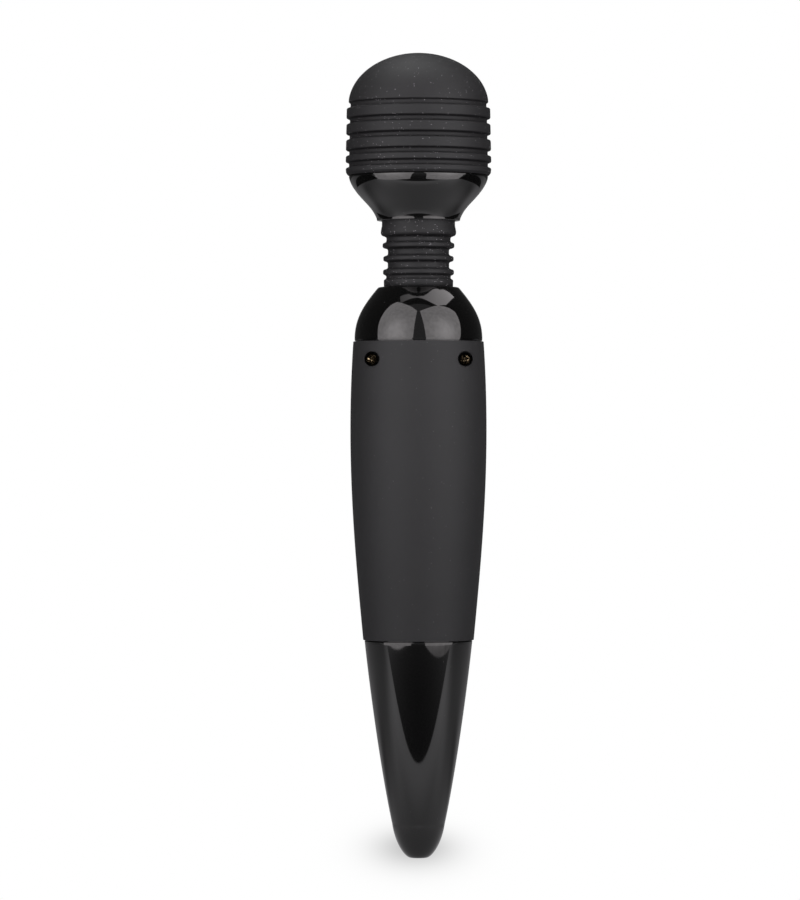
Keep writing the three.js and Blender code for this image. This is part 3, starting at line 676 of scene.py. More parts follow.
def split_by_height(points, cuts):
    """A path cut where it climbs past each height, each part sharing its end with the next."""
    path = np.array(points, float)
    parts, current, level = [], [path[0]], 0
    for a, b in zip(path[:-1], path[1:]):
        while level < len(cuts) and b[2] >= cuts[level]:
            join = a + (b - a) * (cuts[level] - a[2]) / (b[2] - a[2])
            parts.append(np.array([*current, join]))
            current = [join]
            level += 1
        current.append(b)
    return [*parts, np.array(current)]


def bend_with_neck(name, points, radius, slot_name, node, cuts):
    """A wire through the neck, cut at the given heights: the four middle parts have their placement baked
    and no hinge, any further ones ride on the handle or the head.
    """
    parts = split_by_height(points, cuts)
    for i, part in enumerate(parts):
        piece = tube(part, radius).build(f"{name}_part_{i + 1}", 60)
        finish_piece(piece, slot_name, node)
        step = i - (len(parts) - 4) // 2
        if 0 <= step < 4:
            bend(piece)
        else:
            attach(piece, "handle" if step < 0 else "head")


def neck_spring():
    turns, radius = 9, 6.6
    angles = np.linspace(0, 2 * math.pi * turns, turns * 40 + 1)
    heights = np.linspace(188.7, 216.9, len(angles))
    helix = np.stack([radius * np.cos(angles), radius * np.sin(angles), heights], 1)
    bend_with_neck("neck_spring_coil", helix, 0.8, "bright_steel", "neck_spring", NECK_SEAMS)


def catmull(points, steps):
    """A smooth path through points, with centripetal spacing."""
    p = np.array(points, float)
    p = np.vstack([2 * p[0] - p[1], p, 2 * p[-1] - p[-2]])
    spans = np.sqrt(np.linalg.norm(np.diff(p, axis=0), axis=1))
    knots = np.concatenate([[0], np.cumsum(spans)])

    def between(a, b, first, last, t):
        return a + (b - a) * (t - knots[first]) / (knots[last] - knots[first])

    out = []
    for i in range(1, len(p) - 2):
        for t in np.linspace(knots[i], knots[i + 1], steps, endpoint=False):
            a = [between(p[k - 1], p[k], k - 1, k, t) for k in (i, i + 1, i + 2)]
            b = [between(a[k], a[k + 1], i + k - 1, i + k + 1, t) for k in (0, 1)]
            out.append(between(b[0], b[1], i, i + 1, t))
    return np.array([*out, p[-2]])


def motor_leads():
    for side, color in ((1, "red"), (-1, "black")):
        path = catmull([(side * x, y, z) for x, y, z in LEAD_PATH], 12)
        node = f"motor_lead_{color}"
        bend_with_neck(f"{node}_wire", path, 0.6, f"{color}_lead", node, NECK_ENDS)


# ---- handle


def shoulder_collar():
    """The glossy shoulder, its skirt cut away for the shell screws' bosses."""
    side = bezier(SHOULDER_SIDE, 64)
    skirt_inside = SHOULDER_SKIRT_R - WALL
    top_inside = SHOULDER_TOP - WALL
    foot = rounded([(21.0, SHOULDER_BOTTOM), (21.4, SHOULDER_BOTTOM, 0.1), (21.4, 174.2)])[1:-1]
    crown = rounded([side[-1], (13.4, SHOULDER_TOP, 1.5), (11.0, SHOULDER_TOP)], 10)[1:-1]
    outline = [
        (SHOULDER_SKIRT_R, 163.8),
        (SHOULDER_SKIRT_R, GRIP_TOP + 0.02),
        (20.95, GRIP_TOP + 0.02),
        (20.95, SHOULDER_BOTTOM),
        *foot,
        *side[1:],
        *crown,
        (NECK_HOLE_R, SHOULDER_TOP),
        (NECK_HOLE_R, top_inside),
        *bezier(((13.4, top_inside), (16.8, 185), (18.2, 181), (skirt_inside, 174)), 24),
        (skirt_inside, 163.6),
        (SHOULDER_SKIRT_R - 0.2, 163.6),
    ]
    patch = Patchwork().lathe([*outline, outline[0]])
    for x, y in three_round(12.2, 90):
        patch.pipe(x, y, top_inside - 1.7, SHOULDER_TOP - 1, 1.5, 0.75)
    piece = patch.build("shoulder_collar_shell", 32)
    boss_room, far = BOSS_R + 0.4, 24
    for x in SCREW_SIDES:
        rod = Patchwork().lathe([(0, -far), (boss_room, -far), (boss_room, far), (0, far)], 64)
        carved(piece, rod.moved(TO_BACK, (x, 0, SCREW_Z)).build("cutter"), 32)
    finish_piece(piece, "gloss_black", "shoulder_collar", "handle")


def tail_cone():
    """The glossy tail with the charge hole in its tip and a spigot that the grip closes on."""
    cone = bezier(TAIL_CONE, 96)
    roll = rounded([cone[-2], (18.1, TAIL_TOP, 0.3), (17.2, TAIL_TOP)], 6)[1:-1]
    outline = [
        (JACK_HOLE_R + 0.25, 0.0),
        *bezier(TAIL_TIP, 40),
        *cone[1:-2],
        *roll,
        (TAIL_SKIRT_R, TAIL_TOP),
        (TAIL_SKIRT_R, 76),
        (15.1, 76),
        (15.1, 77.6),
        (TAIL_SKIRT_R, 77.6),
        (TAIL_SKIRT_R, 80),
        (TAIL_SKIRT_R - WALL, 80),
        (TAIL_SKIRT_R - WALL, 71),
        *bezier(((16.1, 70), (14, 54), (10.4, 28), (6.6, 12)), 24),
        (JACK_R + 0.3, 3.6),
        (JACK_R + 0.3, 1.5),
        (JACK_HOLE_R, 1.5),
        (JACK_HOLE_R, 0.25),
    ]
    patch = Patchwork().lathe([*outline, outline[0]])
    finish_piece(patch.build("tail_cone_shell", 32), "gloss_black", "tail_cone", "handle")


def grip_radius(z):
    """Outer radius of the grip at one or many heights."""
    side = np.array(bezier(GRIP_SIDE, 400))
    return np.interp(z, side[:, 1], side[:, 0])


def inside_outline(points, outline):
    """True for each point inside a closed outline of the plane."""
    x, y = points[:, :1], points[:, 1:]
    x0, y0 = outline.T
    x1, y1 = np.roll(outline, -1, 0).T
    crosses = (y0 > y) != (y1 > y)
    with np.errstate(divide="ignore", invalid="ignore"):
        at = (x1 - x0) * (y - y0) / (y1 - y0) + x0
    return (crosses & (x < at)).sum(1) % 2 == 1


def inside_region(points, loops):
    """True for each point inside the first outline and outside the others."""
    inside = [inside_outline(points, loop) for loop in loops]
    return inside[0] & ~np.any(inside[1:], axis=0)


def sheet(outer, holes, spacing):
    """Triangles over a flat region with holes: dense outlines joined to an even grid of points."""
    loops = [np.asarray(loop) for loop in (outer, *holes)]
    low, high = loops[0].min(0), loops[0].max(0)
    xs, ys = (np.arange(low[k] + spacing / 2, high[k], spacing) for k in (0, 1))
    inner = np.stack(np.meshgrid(xs, ys), -1).reshape(-1, 2)
    inner = inner[inside_region(inner, loops)]
    border = np.vstack(loops)
    gaps = np.sqrt(((inner[:, None] - border[None]) ** 2).sum(-1)).min(1)
    inner = inner[gaps > spacing * 0.55]
    edges, base = [], 0
    for loop in loops:
        edges += [(base + i, base + (i + 1) % len(loop)) for i in range(len(loop))]
        base += len(loop)
    points = [Vector(p) for p in (*border, *inner)]
    made = delaunay_2d_cdt(points, edges, [], 0, 1e-5)
    flat = np.array([tuple(v) for v in made[0]])
    triangles = np.array([f for f in made[2] if len(f) == 3])
    return flat, triangles[inside_region(flat[triangles].mean(1), loops)]


def on_grip(points, side, margin=0.0):
    """(x, z) points put on the grip's outer surface, side +1 at the back or -1 at the front."""
    x, z = np.asarray(points, float).T
    radius = grip_radius(z) + margin
    return np.stack([x, side * np.sqrt(np.maximum(radius**2 - x**2, 0)), z], 1)


def unroll(points, margin):
    """(x, z) points on the grip as (arc length round from the middle, z)."""
    x, z = points.T
    return np.stack([np.arcsin(np.clip(x / (grip_radius(z) + margin), -1, 1)) * GRIP_MEAN, z], 1)


def roll_up(points, side, margin):
    """The inverse of unroll, as points in space."""
    angle, z = points[:, 0] / GRIP_MEAN, points[:, 1]
    radius = grip_radius(z) + margin
    return np.stack([radius * np.sin(angle), side * radius * np.cos(angle), z], 1)


def grip_sheet(patch, side, margin, heights, holes, spacing):
    """The inner or outer face of half the grip, with holes; gives its border's angles."""
    reach = GRIP_MEAN * PARTING_REACH
    across = np.linspace(-reach, reach, 97)
    border = [(a, heights[0]) for a in across[:-1]] + [(reach, z) for z in heights[:-1]]
    border += [(a, heights[-1]) for a in across[:0:-1]] + [(-reach, z) for z in heights[:0:-1]]
    flat, triangles = sheet(border, [unroll(h, margin) for h in holes], spacing)
    patch.add(roll_up(flat, side, margin), triangles)
    return across / GRIP_MEAN


def parting_lip(side, turn, z):
    """Points at one height from the outer face, round the parting edge, to the inner face."""
    radius = float(grip_radius(z))
    inner = radius - GRIP_WALL
    reach = turn * PARTING_REACH
    lip = [(radius * math.sin(reach), side * radius * math.cos(reach), z)]
    for a in np.linspace(0, math.pi / 2, 4)[1:]:
        y = PARTING_Y + PARTING * (1 - math.sin(a))
        lip.append((turn * (radius - PARTING * (1 - math.cos(a))), side * y, z))
    lip.append((turn * inner, side * PARTING_Y, z))
    return [*lip, (inner * math.sin(reach), side * inner * math.cos(reach), z)]


def seam_tongue(patch, turn):
    """A thin strip inside the front half that closes the parting line from within."""
    rows = []
    for z in np.linspace(78.2, 172.9, 40):
        inner = float(grip_radius(z)) - GRIP_WALL
        x0, x1 = turn * (inner - 0.06), turn * (inner - 0.24)
        rows.append([(x0, -1.2, z), (x0, 1.2, z), (x1, 1.2, z), (x1, -1.2, z)])
    patch.grid(rows, closed=True)
    for end in (rows[0], rows[-1]):
        patch.add(end, [(0, 1, 2, 3)])


def grip_shell(name, side, outer_holes, inner_holes, wells):
    """Half of the grip: two faces joined by their edges and by the wells' rings."""
    heights = np.linspace(GRIP_BOTTOM + GRIP_EDGE, GRIP_TOP - GRIP_EDGE, 97)
    patch = Patchwork()
    grip_sheet(patch, side, -GRIP_WALL, heights, inner_holes, 2.2)
    angles = grip_sheet(patch, side, 0.0, heights, outer_holes, 1.05)
    for well in wells:
        patch.grid(well, closed=True)
    for z, sign in ((heights[0], -1), (heights[-1], 1)):
        r = float(grip_radius(z))
        edge = [(r + GRIP_EDGE * (math.cos(a) - 1), z + sign * GRIP_EDGE * math.sin(a)) for a in QUARTER]
        edge += [(r - GRIP_WALL, z + sign * GRIP_EDGE), (r - GRIP_WALL, z)]
        patch.grid([[(r * math.sin(a), side * r * math.cos(a), z) for a in angles] for r, z in edge])
    for turn in (-1, 1):
        patch.grid([parting_lip(side, turn, z) for z in heights])
        if side < 0:
            seam_tongue(patch, turn)
    patch.lathe(TAIL_RIB, 60, 0.03 if side > 0 else math.pi + 0.03, math.pi - 0.06)
    finish_piece(patch.build(f"{name}_skin", 40), "soft_touch", f"{name}_shell", "handle")


def flat_ring(x, radius, y):
    across, up = circle(x, SCREW_Z, radius).T
    return np.stack([across, np.full(len(across), y), up], 1)


def screw_well(x):
    """Rings lining a screw's recess: its beaded rim, bore, seat, shank hole and outer boss."""
    rows = [on_grip(circle(x, SCREW_Z, SCREW_RECESS_R + wider), 1, lift) for wider, lift in BEAD]
    rim = rows[-1]
    for t in (0.25, 0.5, 0.75, 1.0):
        rows.append(rim + np.outer(t * (SCREW_SEAT_Y - rim[:, 1]), (0, 1, 0)))
    shank_hole, boss_end = 1.35, 3.2
    rows += [flat_ring(x, 1.9, SCREW_SEAT_Y), flat_ring(x, shank_hole, SCREW_SEAT_Y)]
    rows += [flat_ring(x, shank_hole, boss_end), flat_ring(x, BOSS_R, boss_end), flat_ring(x, BOSS_R, 8.0)]
    return [*rows, on_grip(circle(x, SCREW_Z, BOSS_R), 1, -GRIP_WALL)]


def screw_post(x):
    """Rings of the front half's post that a shell screw bites into."""
    end, pilot = -4.9, 1.25
    rows = [on_grip(circle(x, SCREW_Z, POST_R), -1, -GRIP_WALL), flat_ring(x, POST_R, -8.0)]
    rows += [flat_ring(x, POST_R, end), flat_ring(x, pilot, end), flat_ring(x, pilot, -13.0)]
    return [*rows, flat_ring(x, 0.0, -13.5)]


def grip_back():
    outer = [circle(x, SCREW_Z, SCREW_RECESS_R + BEAD[0][0]) for x in SCREW_SIDES]
    inner = [circle(x, SCREW_Z, BOSS_R) for x in SCREW_SIDES]
    grip_shell("grip_back", 1, outer, inner, [screw_well(x) for x in SCREW_SIDES])


def panel_outline(margin):
    """The panel's round-ended outline, wider by margin all round, and the way out at each point."""
    r = PANEL_WIDTH / 2 + margin
    straight = (PANEL_LENGTH - PANEL_WIDTH) / 2
    step = 0.6
    arc = np.linspace(0, math.pi, round(math.pi * r / step) + 1)
    top = np.stack([r * np.cos(arc), PANEL_Z + straight + r * np.sin(arc)], 1)
    heights = np.linspace(straight, -straight, round(2 * straight / step) + 1)[1:-1]
    half = np.vstack([top, [(-r, PANEL_Z + z) for z in heights]])
    outline = np.vstack([half, (0, 2 * PANEL_Z) - half])
    middle = outline * (0, 1)
    middle[:, 1] = np.clip(middle[:, 1], PANEL_Z - straight, PANEL_Z + straight)
    return outline, unit(outline - middle)


def rounded_edge(outline, direction, margin, radius):
    """Rings over the rounded edge of a hole or plate on the front; direction leads over the edge."""
    return [
        on_grip(outline + direction * radius * math.sin(a), -1, margin) + (0, radius * (1 - math.cos(a)), 0)
        for a in QUARTER
    ]


def grip_front():
    lip = 0.3
    mouth, away = panel_outline(lip)
    throat = mouth - away * lip
    panel_well = [*rounded_edge(mouth, -away, 0.0, lip), on_grip(throat, -1, -GRIP_WALL)]
    inner = [throat, *[circle(x, SCREW_Z, POST_R) for x in SCREW_SIDES]]
    grip_shell("grip_front", -1, [mouth], inner, [panel_well, *[screw_post(x) for x in SCREW_SIDES]])


# ---- controls


def panel_wall(outline, direction, radius):
    """Rings from the panel's face over a rounded edge and down the wall."""
    rows = rounded_edge(outline, direction, PANEL_PROUD, radius)
    return [*rows, rows[-1] + (0, PANEL_DEPTH / 2, 0), rows[-1] + (0, PANEL_DEPTH, 0)]


def control_panel():
    """The glossy insert on the front: a bowed plate with three button holes and a light window."""
    edge, hole_edge = 0.35, 0.3
    outline, away = panel_outline(-GAP - edge)
    holes = [(z, BUTTON_R + 0.25) for z in BUTTON_Z.values()] + [(LED_Z, 1.6)]
    rims = [circle(0, z, radius + hole_edge, 84) for z, radius in holes]
    flat, triangles = sheet(outline, rims, 0.8)
    patch = Patchwork().add(on_grip(flat, -1, PANEL_PROUD), triangles)
    patch.grid(panel_wall(outline, away, edge), closed=True)
    for (z, _), rim in zip(holes, rims):
        patch.grid(panel_wall(rim, unit((0, z) - rim), hole_edge), closed=True)
    finish_piece(patch.build("control_panel_plate", 34), "gloss_black", "control_panel", "handle")


def raised_mark(patch, outline, base, top, bevel=0.06):
    """Adds a flat raised shape with softened top edges, its outline in the plane of the key."""
    outline = np.asarray(outline, float)
    along = unit(np.roll(outline, -1, 0) - np.roll(outline, 1, 0))
    inward = np.stack([-along[:, 1], along[:, 0]], 1)
    rings = [(0.0, base), (0.0, top - bevel), (bevel * 0.4, top - bevel * 0.3), (bevel, top)]
    rows = [np.column_stack([outline + inward * inset, np.full(len(outline), z)]) for inset, z in rings]
    patch.grid(rows, closed=True)
    order = range(len(outline))
    patch.add(rows[-1], [tuple(order)])
    patch.add(rows[0], [tuple(reversed(order))])


def plus_outline(reach, half):
    corners = []
    for c, s in ((1, 0), (0, 1), (-1, 0), (0, -1)):
        arm = ((half, -half), (reach, -half, 0.15), (reach, half, 0.15))
        corners += [(x * c - y * s, x * s + y * c, *r) for x, y, *r in arm]
    return rounded(corners, 3)


def arc_outline(radius, half, gap):
    """A ring left open at the top."""
    sweep = np.linspace(math.pi / 2 + gap, 5 * math.pi / 2 - gap, 40)
    spokes = np.stack([np.cos(sweep), np.sin(sweep)], 1)
    return [*(radius + half) * spokes, *(radius - half) * spokes[::-1]]


def bar_outline(x0, x1, y0, y1):
    return rounded([(x0, y0, 0.15), (x1, y0, 0.15), (x1, y1, 0.15), (x0, y1, 0.15)], 3)


MARKS = {
    "speed_up": [plus_outline(1.9, 0.38)],
    "power": [arc_outline(1.6, 0.3, 0.55), bar_outline(-0.3, 0.3, 0.5, 2.2)],
    "speed_down": [bar_outline(-1.9, 1.9, -0.38, 0.38)],
}


def button_cap(name, z):
    """A round key with a dished face, rounded rim and a plain raised sign."""
    surface = float(grip_radius(z))
    height = surface + BUTTON_PROUD
    flange = surface - 5.4
    rim = ((DISH_R, height - 0.05), (4.75, height), (BUTTON_R, height - 0.15), (BUTTON_R, height - 0.8))
    outline = [
        *[(r, height - DISH + 0.3 * (r / DISH_R) ** 2) for r in np.linspace(0, DISH_R, 16)],
        *bezier(rim, 10)[1:],
        (BUTTON_R, flange),
        (6.2, flange),
        (6.4, flange - 0.2),
        (6.4, flange - 1.0),
        (2.2, flange - 1.0),
        (2.2, 15.05),
        (0.0, 15.05),
    ]
    cap = Patchwork().lathe(outline, 96)
    sign = Patchwork()
    for mark in MARKS[name]:
        raised_mark(sign, mark, height - DISH - 0.1, height - 0.14)
    for patch, kind, look in ((cap, "cap", "button_rubber"), (sign, "sign", "button_mark")):
        piece = patch.moved(TO_FRONT, (0, 0, z)).build(f"{name}_button_{kind}", 40)
        finish_piece(piece, "button_rubber", f"{name}_button", f"{name}_button", look)


# ---- screws


def threaded_screw():
    """A pan-head self-tapping screw at the origin, head up, with a real helical thread."""
    sides, rows_per_turn = 36, 8
    core = SHANK_R * 0.72
    turns = np.arange(sides) / sides
    rows = round(SCREW_LENGTH / SCREW_PITCH * rows_per_turn)
    z = np.linspace(-SCREW_LENGTH, 0, rows + 1)[:, None]
    crest = (1 - abs(2 * ((z / SCREW_PITCH - turns) % 1.0) - 1)) ** 1.6
    thread = (SHANK_R - core) * crest * (1 - smooth(-0.8, -0.2, z))
    r = (core + thread) * (0.25 + 0.75 * smooth(0, 3.0 * SHANK_R, z + SCREW_LENGTH))
    angles = 2 * math.pi * turns
    shank = np.stack([r * np.cos(angles), r * np.sin(angles), z + 0 * r], -1)
    tip = [(0, 0, -SCREW_LENGTH - 0.35 * SHANK_R)] * sides
    patch = Patchwork().grid([tip, *shank], closed=True)
    rim, low, top = SCREW_HEAD_R, SCREW_HEAD * 0.42, SCREW_HEAD
    crown = bezier(((rim, low), (rim * 0.96, top * 0.8), (rim * 0.7, top), (0.0, top)), 14)
    return patch.lathe([(core, 0.0), (rim - 0.12, 0.0), (rim, 0.12), *crown], sides)


def cross_cutter():
    """The tapered cross that a driver leaves, as a closed mesh."""
    patch = Patchwork()
    ends = ((0.32, 0.12, SCREW_HEAD * 0.15), (0.68, 0.22, SCREW_HEAD + 0.4))  # reach, width, height
    faces = [(3, 2, 1, 0), (4, 5, 6, 7), (0, 1, 5, 4), (1, 2, 6, 5), (2, 3, 7, 6), (3, 0, 4, 7)]
    for turn in (0, 1):
        corners = []
        for reach, width, z in ends:
            for a, b in ((-1, -1), (1, -1), (1, 1), (-1, 1)):
                x, y = a * reach * SCREW_HEAD_R, b * width * SCREW_HEAD_R
                corners.append((y, -x, z) if turn else (x, y, z))
        patch.add(corners, faces)
    return patch


def shell_screws():
    for name, x, turn in (("right", SCREW_SIDES[0], 12), ("left", SCREW_SIDES[1], 38)):
        c, s = math.cos(math.radians(turn)), math.sin(math.radians(turn))
        matrix = np.array(TO_BACK) @ np.array(((c, -s, 0), (s, c, 0), (0, 0, 1)))
        place = (x, SCREW_SEAT_Y + 0.05, SCREW_Z)
        cutter = cross_cutter().moved(matrix, place).build("cutter", 30)
        screw = threaded_screw().moved(matrix, place).build(f"shell_screw_{name}_threaded", 35)
        finish_piece(carved(screw, cutter, 35), "bronzed_screw", f"shell_screw_{name}", "handle")


# ---- studio


class Glow(Graph):
    """An emission material whose strength can vary over the card."""

    def __init__(self, name, tint=(1.0, 1.0, 1.0)):
        super().__init__(bpy.data.materials.new(name))
        self.tree.nodes.clear()
        self.glow = self.node("Emission", {"Color": tint})
        self.out = self.node("OutputMaterial", {"Surface": self.glow.outputs[0]})

    def axes(self):
        return self.node("SeparateXYZ", {0: self.coords()}).outputs

    def radius(self):
        """Distance from the upright axis, in metres."""
        return self.vector("LENGTH", self.vector("MULTIPLY", self.coords(), (1, 1, 0)), output="Value")

    def spot(self, centre, reach):
        """1 at a point (mm), fading like a bell; reach is how far along each axis."""
        offset = self.vector("SUBTRACT", self.coords(), tuple(c * MM for c in centre))
        scaled = self.vector("MULTIPLY", offset, tuple(1 / (r * MM) if r else 0 for r in reach))
        square = self.vector("DOT_PRODUCT", scaled, scaled, output="Value")
        return self.math("EXPONENT", self.times(square, -0.5))

    def both_sides(self, x, y, reach):
        """Two equal spots, left and right of the wand."""
        return self.add(*[self.spot((side * x, y, 0), reach) for side in (1, -1)])

    def steps(self, value, stops):
        """A curve through (position in mm, strength) stops, going up."""
        ramp = self.node("FloatCurve")
        low, high = stops[0][0], stops[-1][0]
        top = max(level for _, level in stops)
        curve = ramp.mapping.curves[0]
        places = [((at - low) / (high - low), level / top) for at, level in stops]
        curve.points[0].location = places[0]
        curve.points[1].location = places[-1]
        for place in places[1:-1]:
            curve.points.new(*place)
        for point in curve.points:
            point.handle_type = "VECTOR"
        ramp.mapping.update()
        scaled = self.math("DIVIDE", self.math("SUBTRACT", value, low * MM), (high - low) * MM)
        self.feed(ramp.inputs["Value"], scaled)
        return self.times(ramp.outputs[0], top)

    def clear_behind(self):
        """Lets a view from behind the card pass through it."""
        behind = self.node("NewGeometry").outputs["Backfacing"]
        clear = self.node("BsdfTransparent").outputs[0]
        mixed = self.node("MixShader", {0: behind, 1: self.glow.outputs[0], 2: clear})
        self.feed(self.out.inputs["Surface"], mixed.outputs[0])

    def set(self, strength):
        self.feed(self.glow.inputs["Strength"], strength)
        return self.block


def card(name, corners, material):
    """A flat light or reflector card, unseen by the camera."""
    mesh = bpy.data.meshes.new(name)
    mesh.from_pydata([tuple(c * MM for c in p) for p in corners], [], [tuple(range(len(corners)))])
    mesh.materials.append(material)
    piece = placed(name, mesh)
    piece.visible_camera = False
    piece.visible_shadow = False
    return piece


def level_rectangle(x0, x1, y0, y1, z):
    return [(x0, y0, z), (x1, y0, z), (x1, y1, z), (x0, y1, z)]


def upright_rectangle(half, y, z0, z1):
    return [(-half, y, z0), (half, y, z0), (half, y, z1), (-half, y, z1)]


def floor():
    """A pale floor with a soft contact shadow, seen by the camera only."""
    glow = Glow("floor_pale")
    dark = glow.spot((1, -45, 0), (10, 58, 0))
    glow.clear_behind()
    material = glow.set(glow.math("SUBTRACT", 1.0, glow.times(dark, 0.45)))
    piece = card("floor", level_rectangle(-1500, 1500, -1500, 1500, -0.3), material)
    piece.visible_camera = True
    piece.visible_diffuse = False
    piece.visible_glossy = False
    piece.visible_transmission = False


PANEL_FACING = math.radians(28.5)  # azimuth each tall panel faces, from +Y
PANEL_DISTANCE = 248
# Outlines of the tall panels in their own plane: (along, height).
PANEL_LEFT = (
    (-55, 15), (225, 5), (300, 0), (275, 180), (330, 390), (360, 585), (340, 700), (245, 740), (75, 645),
    (-40, 595), (-115, 530), (-85, 175),
)
PANEL_RIGHT = (
    (-65, 10), (85, 5), (265, 0), (300, 180), (395, 405), (450, 580), (345, 620), (210, 610), (95, 590),
    (-10, 550), (-115, 530), (-70, 175),
)
# Outline of the ceiling panel seen from below: its front edge, then its back edge.
CEILING = (
    (290, 150), (285, 170), (215, 172), (10, 177), (-220, 207), (-335, 207), (-465, 65), (-550, -345),
    (-490, -290), (-340, -70), (-150, 105), (-80, 152), (10, 166), (80, 152), (150, 112), (285, 60),
)
CEILING_Z = 760
SWEEP_LEVEL = -60
SWEEP_FRONT = 242
SWEEP_BOW = 0.13  # how the white sweep's front edge curves back, per metre
# The sweep's brightness at distances from the wand's axis.
SWEEP_FADE = (
    (0, 0.5), (140, 0.6), (220, 0.65), (270, 0.63), (370, 0.52), (450, 0.46), (560, 0.42), (700, 0.36),
    (1000, 0.26), (6000, 0.15),
)
WARM = (1.03, 0.985, 1.0)
COOL = (1.0, 0.985, 1.01)


def panel_card(name, side, outline, hot_along, foot):
    """A tall soft panel in front of the wand, brighter round one spot and dimmer along its foot."""
    c, s = math.cos(PANEL_FACING), math.sin(PANEL_FACING)

    def place(along, z):
        return (side * (PANEL_DISTANCE * s + along * c), PANEL_DISTANCE * c - along * s, z)

    glow = Glow(f"{name}_light", WARM)
    hot = glow.times(glow.spot(place(hot_along, 232), (74, 74, 78)), 2.3)
    clouds = glow.add(glow.times(glow.noise(34, 4), 0.76), 0.62)
    strength = glow.times(glow.add(hot, glow.times(clouds, 2.75)), glow.steps(glow.axes()["Z"], foot))
    card(name, [place(*corner) for corner in outline], glow.set(strength))


def ceiling():
    """A bent panel high above, whose reflection runs round the shoulder under the neck."""
    glow = Glow("ceiling_light", WARM)
    level = glow.steps(glow.axes()["X"], ((-560, 3.1), (-300, 2.9), (60, 1.5), (300, 0.75)))
    card("ceiling_panel", [(x, y, CEILING_Z) for x, y in CEILING], glow.set(level))


def low_sweep():
    """The white table under and behind the wand, as its glossy parts mirror it."""
    glow = Glow("sweep_light", COOL)
    axes = glow.axes()
    from_front = glow.add(axes["Y"], glow.times(axes["X"], axes["X"], SWEEP_BOW))
    edge = glow.steps(from_front, ((-4000, 0.0), (150, 0.0), (215, 0.4), (260, 0.5)))
    dull = glow.times(glow.both_sides(340, -250, (130, 120, 0)), 0.26)
    spill = glow.times(glow.both_sides(370, 150, (120, 70, 0)), 0.6)
    base = glow.math("SUBTRACT", glow.steps(glow.radius(), SWEEP_FADE), dull)
    front = [(x, SWEEP_FRONT - SWEEP_BOW * x * x * MM, SWEEP_LEVEL) for x in range(2000, -2001, -100)]
    back = [(-4000, -4000, SWEEP_LEVEL), (4000, -4000, SWEEP_LEVEL)]
    card("low_sweep", [*back, *front], glow.set(glow.add(base, edge, spill)))
    for side, name in ((-1, "black_flag_left"), (1, "black_flag_right")):
        card(name, level_rectangle(side * 200, side * 900, -300, 60, 120), Glow(name).set(0.02))


def dim_room():
    """The faint room beyond the sweep, low in front and behind the camera."""
    low = Glow("room_low_light", COOL)
    axes = low.axes()
    wide = low.times(axes["X"], axes["X"], 1.05)
    far = low.times(low.math("MAXIMUM", low.math("SUBTRACT", axes["Y"], 0.38), 0.0), 0.3)
    strength = low.math("MINIMUM", low.add(wide, far, 0.07), 0.4)
    card("room_low", level_rectangle(-2000, 2000, -300, 3000, SWEEP_LEVEL - 1), low.set(strength))
    card("room_wall", upright_rectangle(900, 1000, 60, 2400), Glow("room_wall_light", COOL).set(0.3))


def soft_lamp(name, place, aim, size, energy, lit=()):
    """A rectangular lamp aimed at a point; only the lit pieces, if any are named, take its light."""
    light = bpy.data.lights.new(name, "AREA")
    light.shape = "RECTANGLE"
    light.size, light.size_y = size
    light.energy = energy
    lamp = placed(name, light)
    lamp.location = Vector(place) * MM
    lamp.rotation_euler = (Vector(aim) - Vector(place)).to_track_quat("-Z", "Y").to_euler()
    lamp.visible_camera = False
    if lit:
        receivers = bpy.data.collections.new(f"{name}_receivers")
        for piece in lit:
            receivers.objects.link(bpy.data.objects[piece])
        lamp.light_linking.receiver_collection = receivers
    return lamp


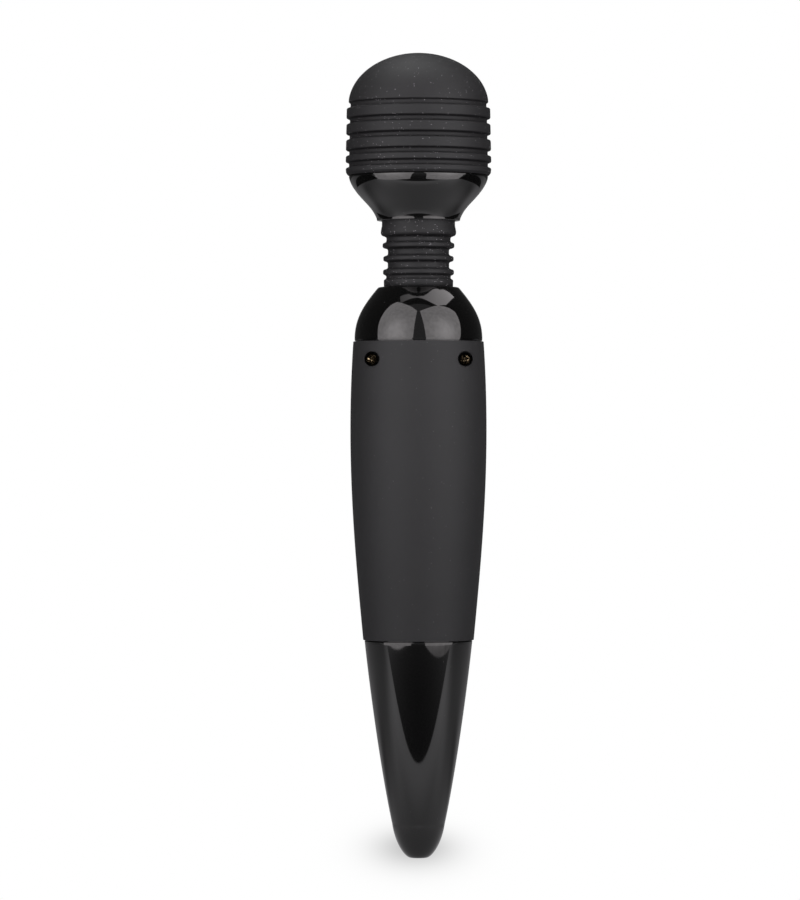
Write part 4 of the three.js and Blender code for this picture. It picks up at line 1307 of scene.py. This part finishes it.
def front_lights():
    """Side lamps for the control side, a lamp over the head's crown, and a fill from behind."""
    lit = ["grip_front_skin", "control_panel_plate", "light_pipe"]
    lit += [f"{name}_button_{part}" for name in BUTTON_Z for part in ("cap", "sign")]
    for side, name in ((-1, "control_lamp_left"), (1, "control_lamp_right")):
        soft_lamp(name, (side * 265, -285, 230), (0, 0, 140), (0.4, 0.58), 2.2, lit)
    soft_lamp("crown_lamp", (60, -60, 800), (0, 0, 255), (0.5, 0.5), 3.0, ["head_cap_skin"])
    fill = soft_lamp("rear_fill", (0, -700, 420), (0, 0, 160), (0.3, 0.5), 6.0)
    fill.visible_glossy = False


def studio():
    """Two tall panels to the front left and right, a ceiling panel, a white sweep and a rear strip."""
    panel_card("panel_left", 1, PANEL_LEFT, 62, ((-10, 0.9), (1140, 1.0)))
    panel_card("panel_right", -1, PANEL_RIGHT, 98, ((-10, 0.4), (12, 0.4), (14, 0.95), (1140, 1.0)))
    ceiling()
    low_sweep()
    dim_room()
    card("rear_strip", upright_rectangle(190, -700, -100, 600), Glow("rear_light").set(0.22))
    front_lights()


def world():
    """White to the camera, nearly black to everything else."""
    graph = Graph(bpy.data.worlds.new("studio_world"))
    graph.tree.nodes.clear()
    to_camera = graph.node("LightPath").outputs["Is Camera Ray"]
    strength = graph.ramp(to_camera, 0.0, 1.0, 0.05, 1.0)
    glow = graph.node("Background", {"Color": (1, 1, 1), "Strength": strength})
    graph.node("OutputWorld", {"Surface": glow.outputs[0]})
    bpy.context.scene.world = graph.block


def camera():
    """A long lens, level and far off, on the side away from the keys."""
    lens = bpy.data.cameras.new("photo_camera")
    lens.sensor_fit = "VERTICAL"
    lens.angle = 2 * math.atan(450 / 4800)
    lens.clip_start = 0.05
    lens.clip_end = 20
    made = placed("photo_camera", lens)
    made.location = Vector((6.2, 1611, 136.8)) * MM
    made.rotation_euler = (math.pi / 2, 0.0, math.pi)
    bpy.context.scene.camera = made


# ---- assembly

dress_cad_nodes()
head_cap()
head_cup()
neck_bellows()
neck_spring()
motor_leads()
shoulder_collar()
tail_cone()
grip_back()
grip_front()
control_panel()
for button, height in BUTTON_Z.items():
    button_cap(button, height)
shell_screws()
floor()
studio()
world()
camera()
bpy.context.scene.view_settings.view_transform = "Standard"
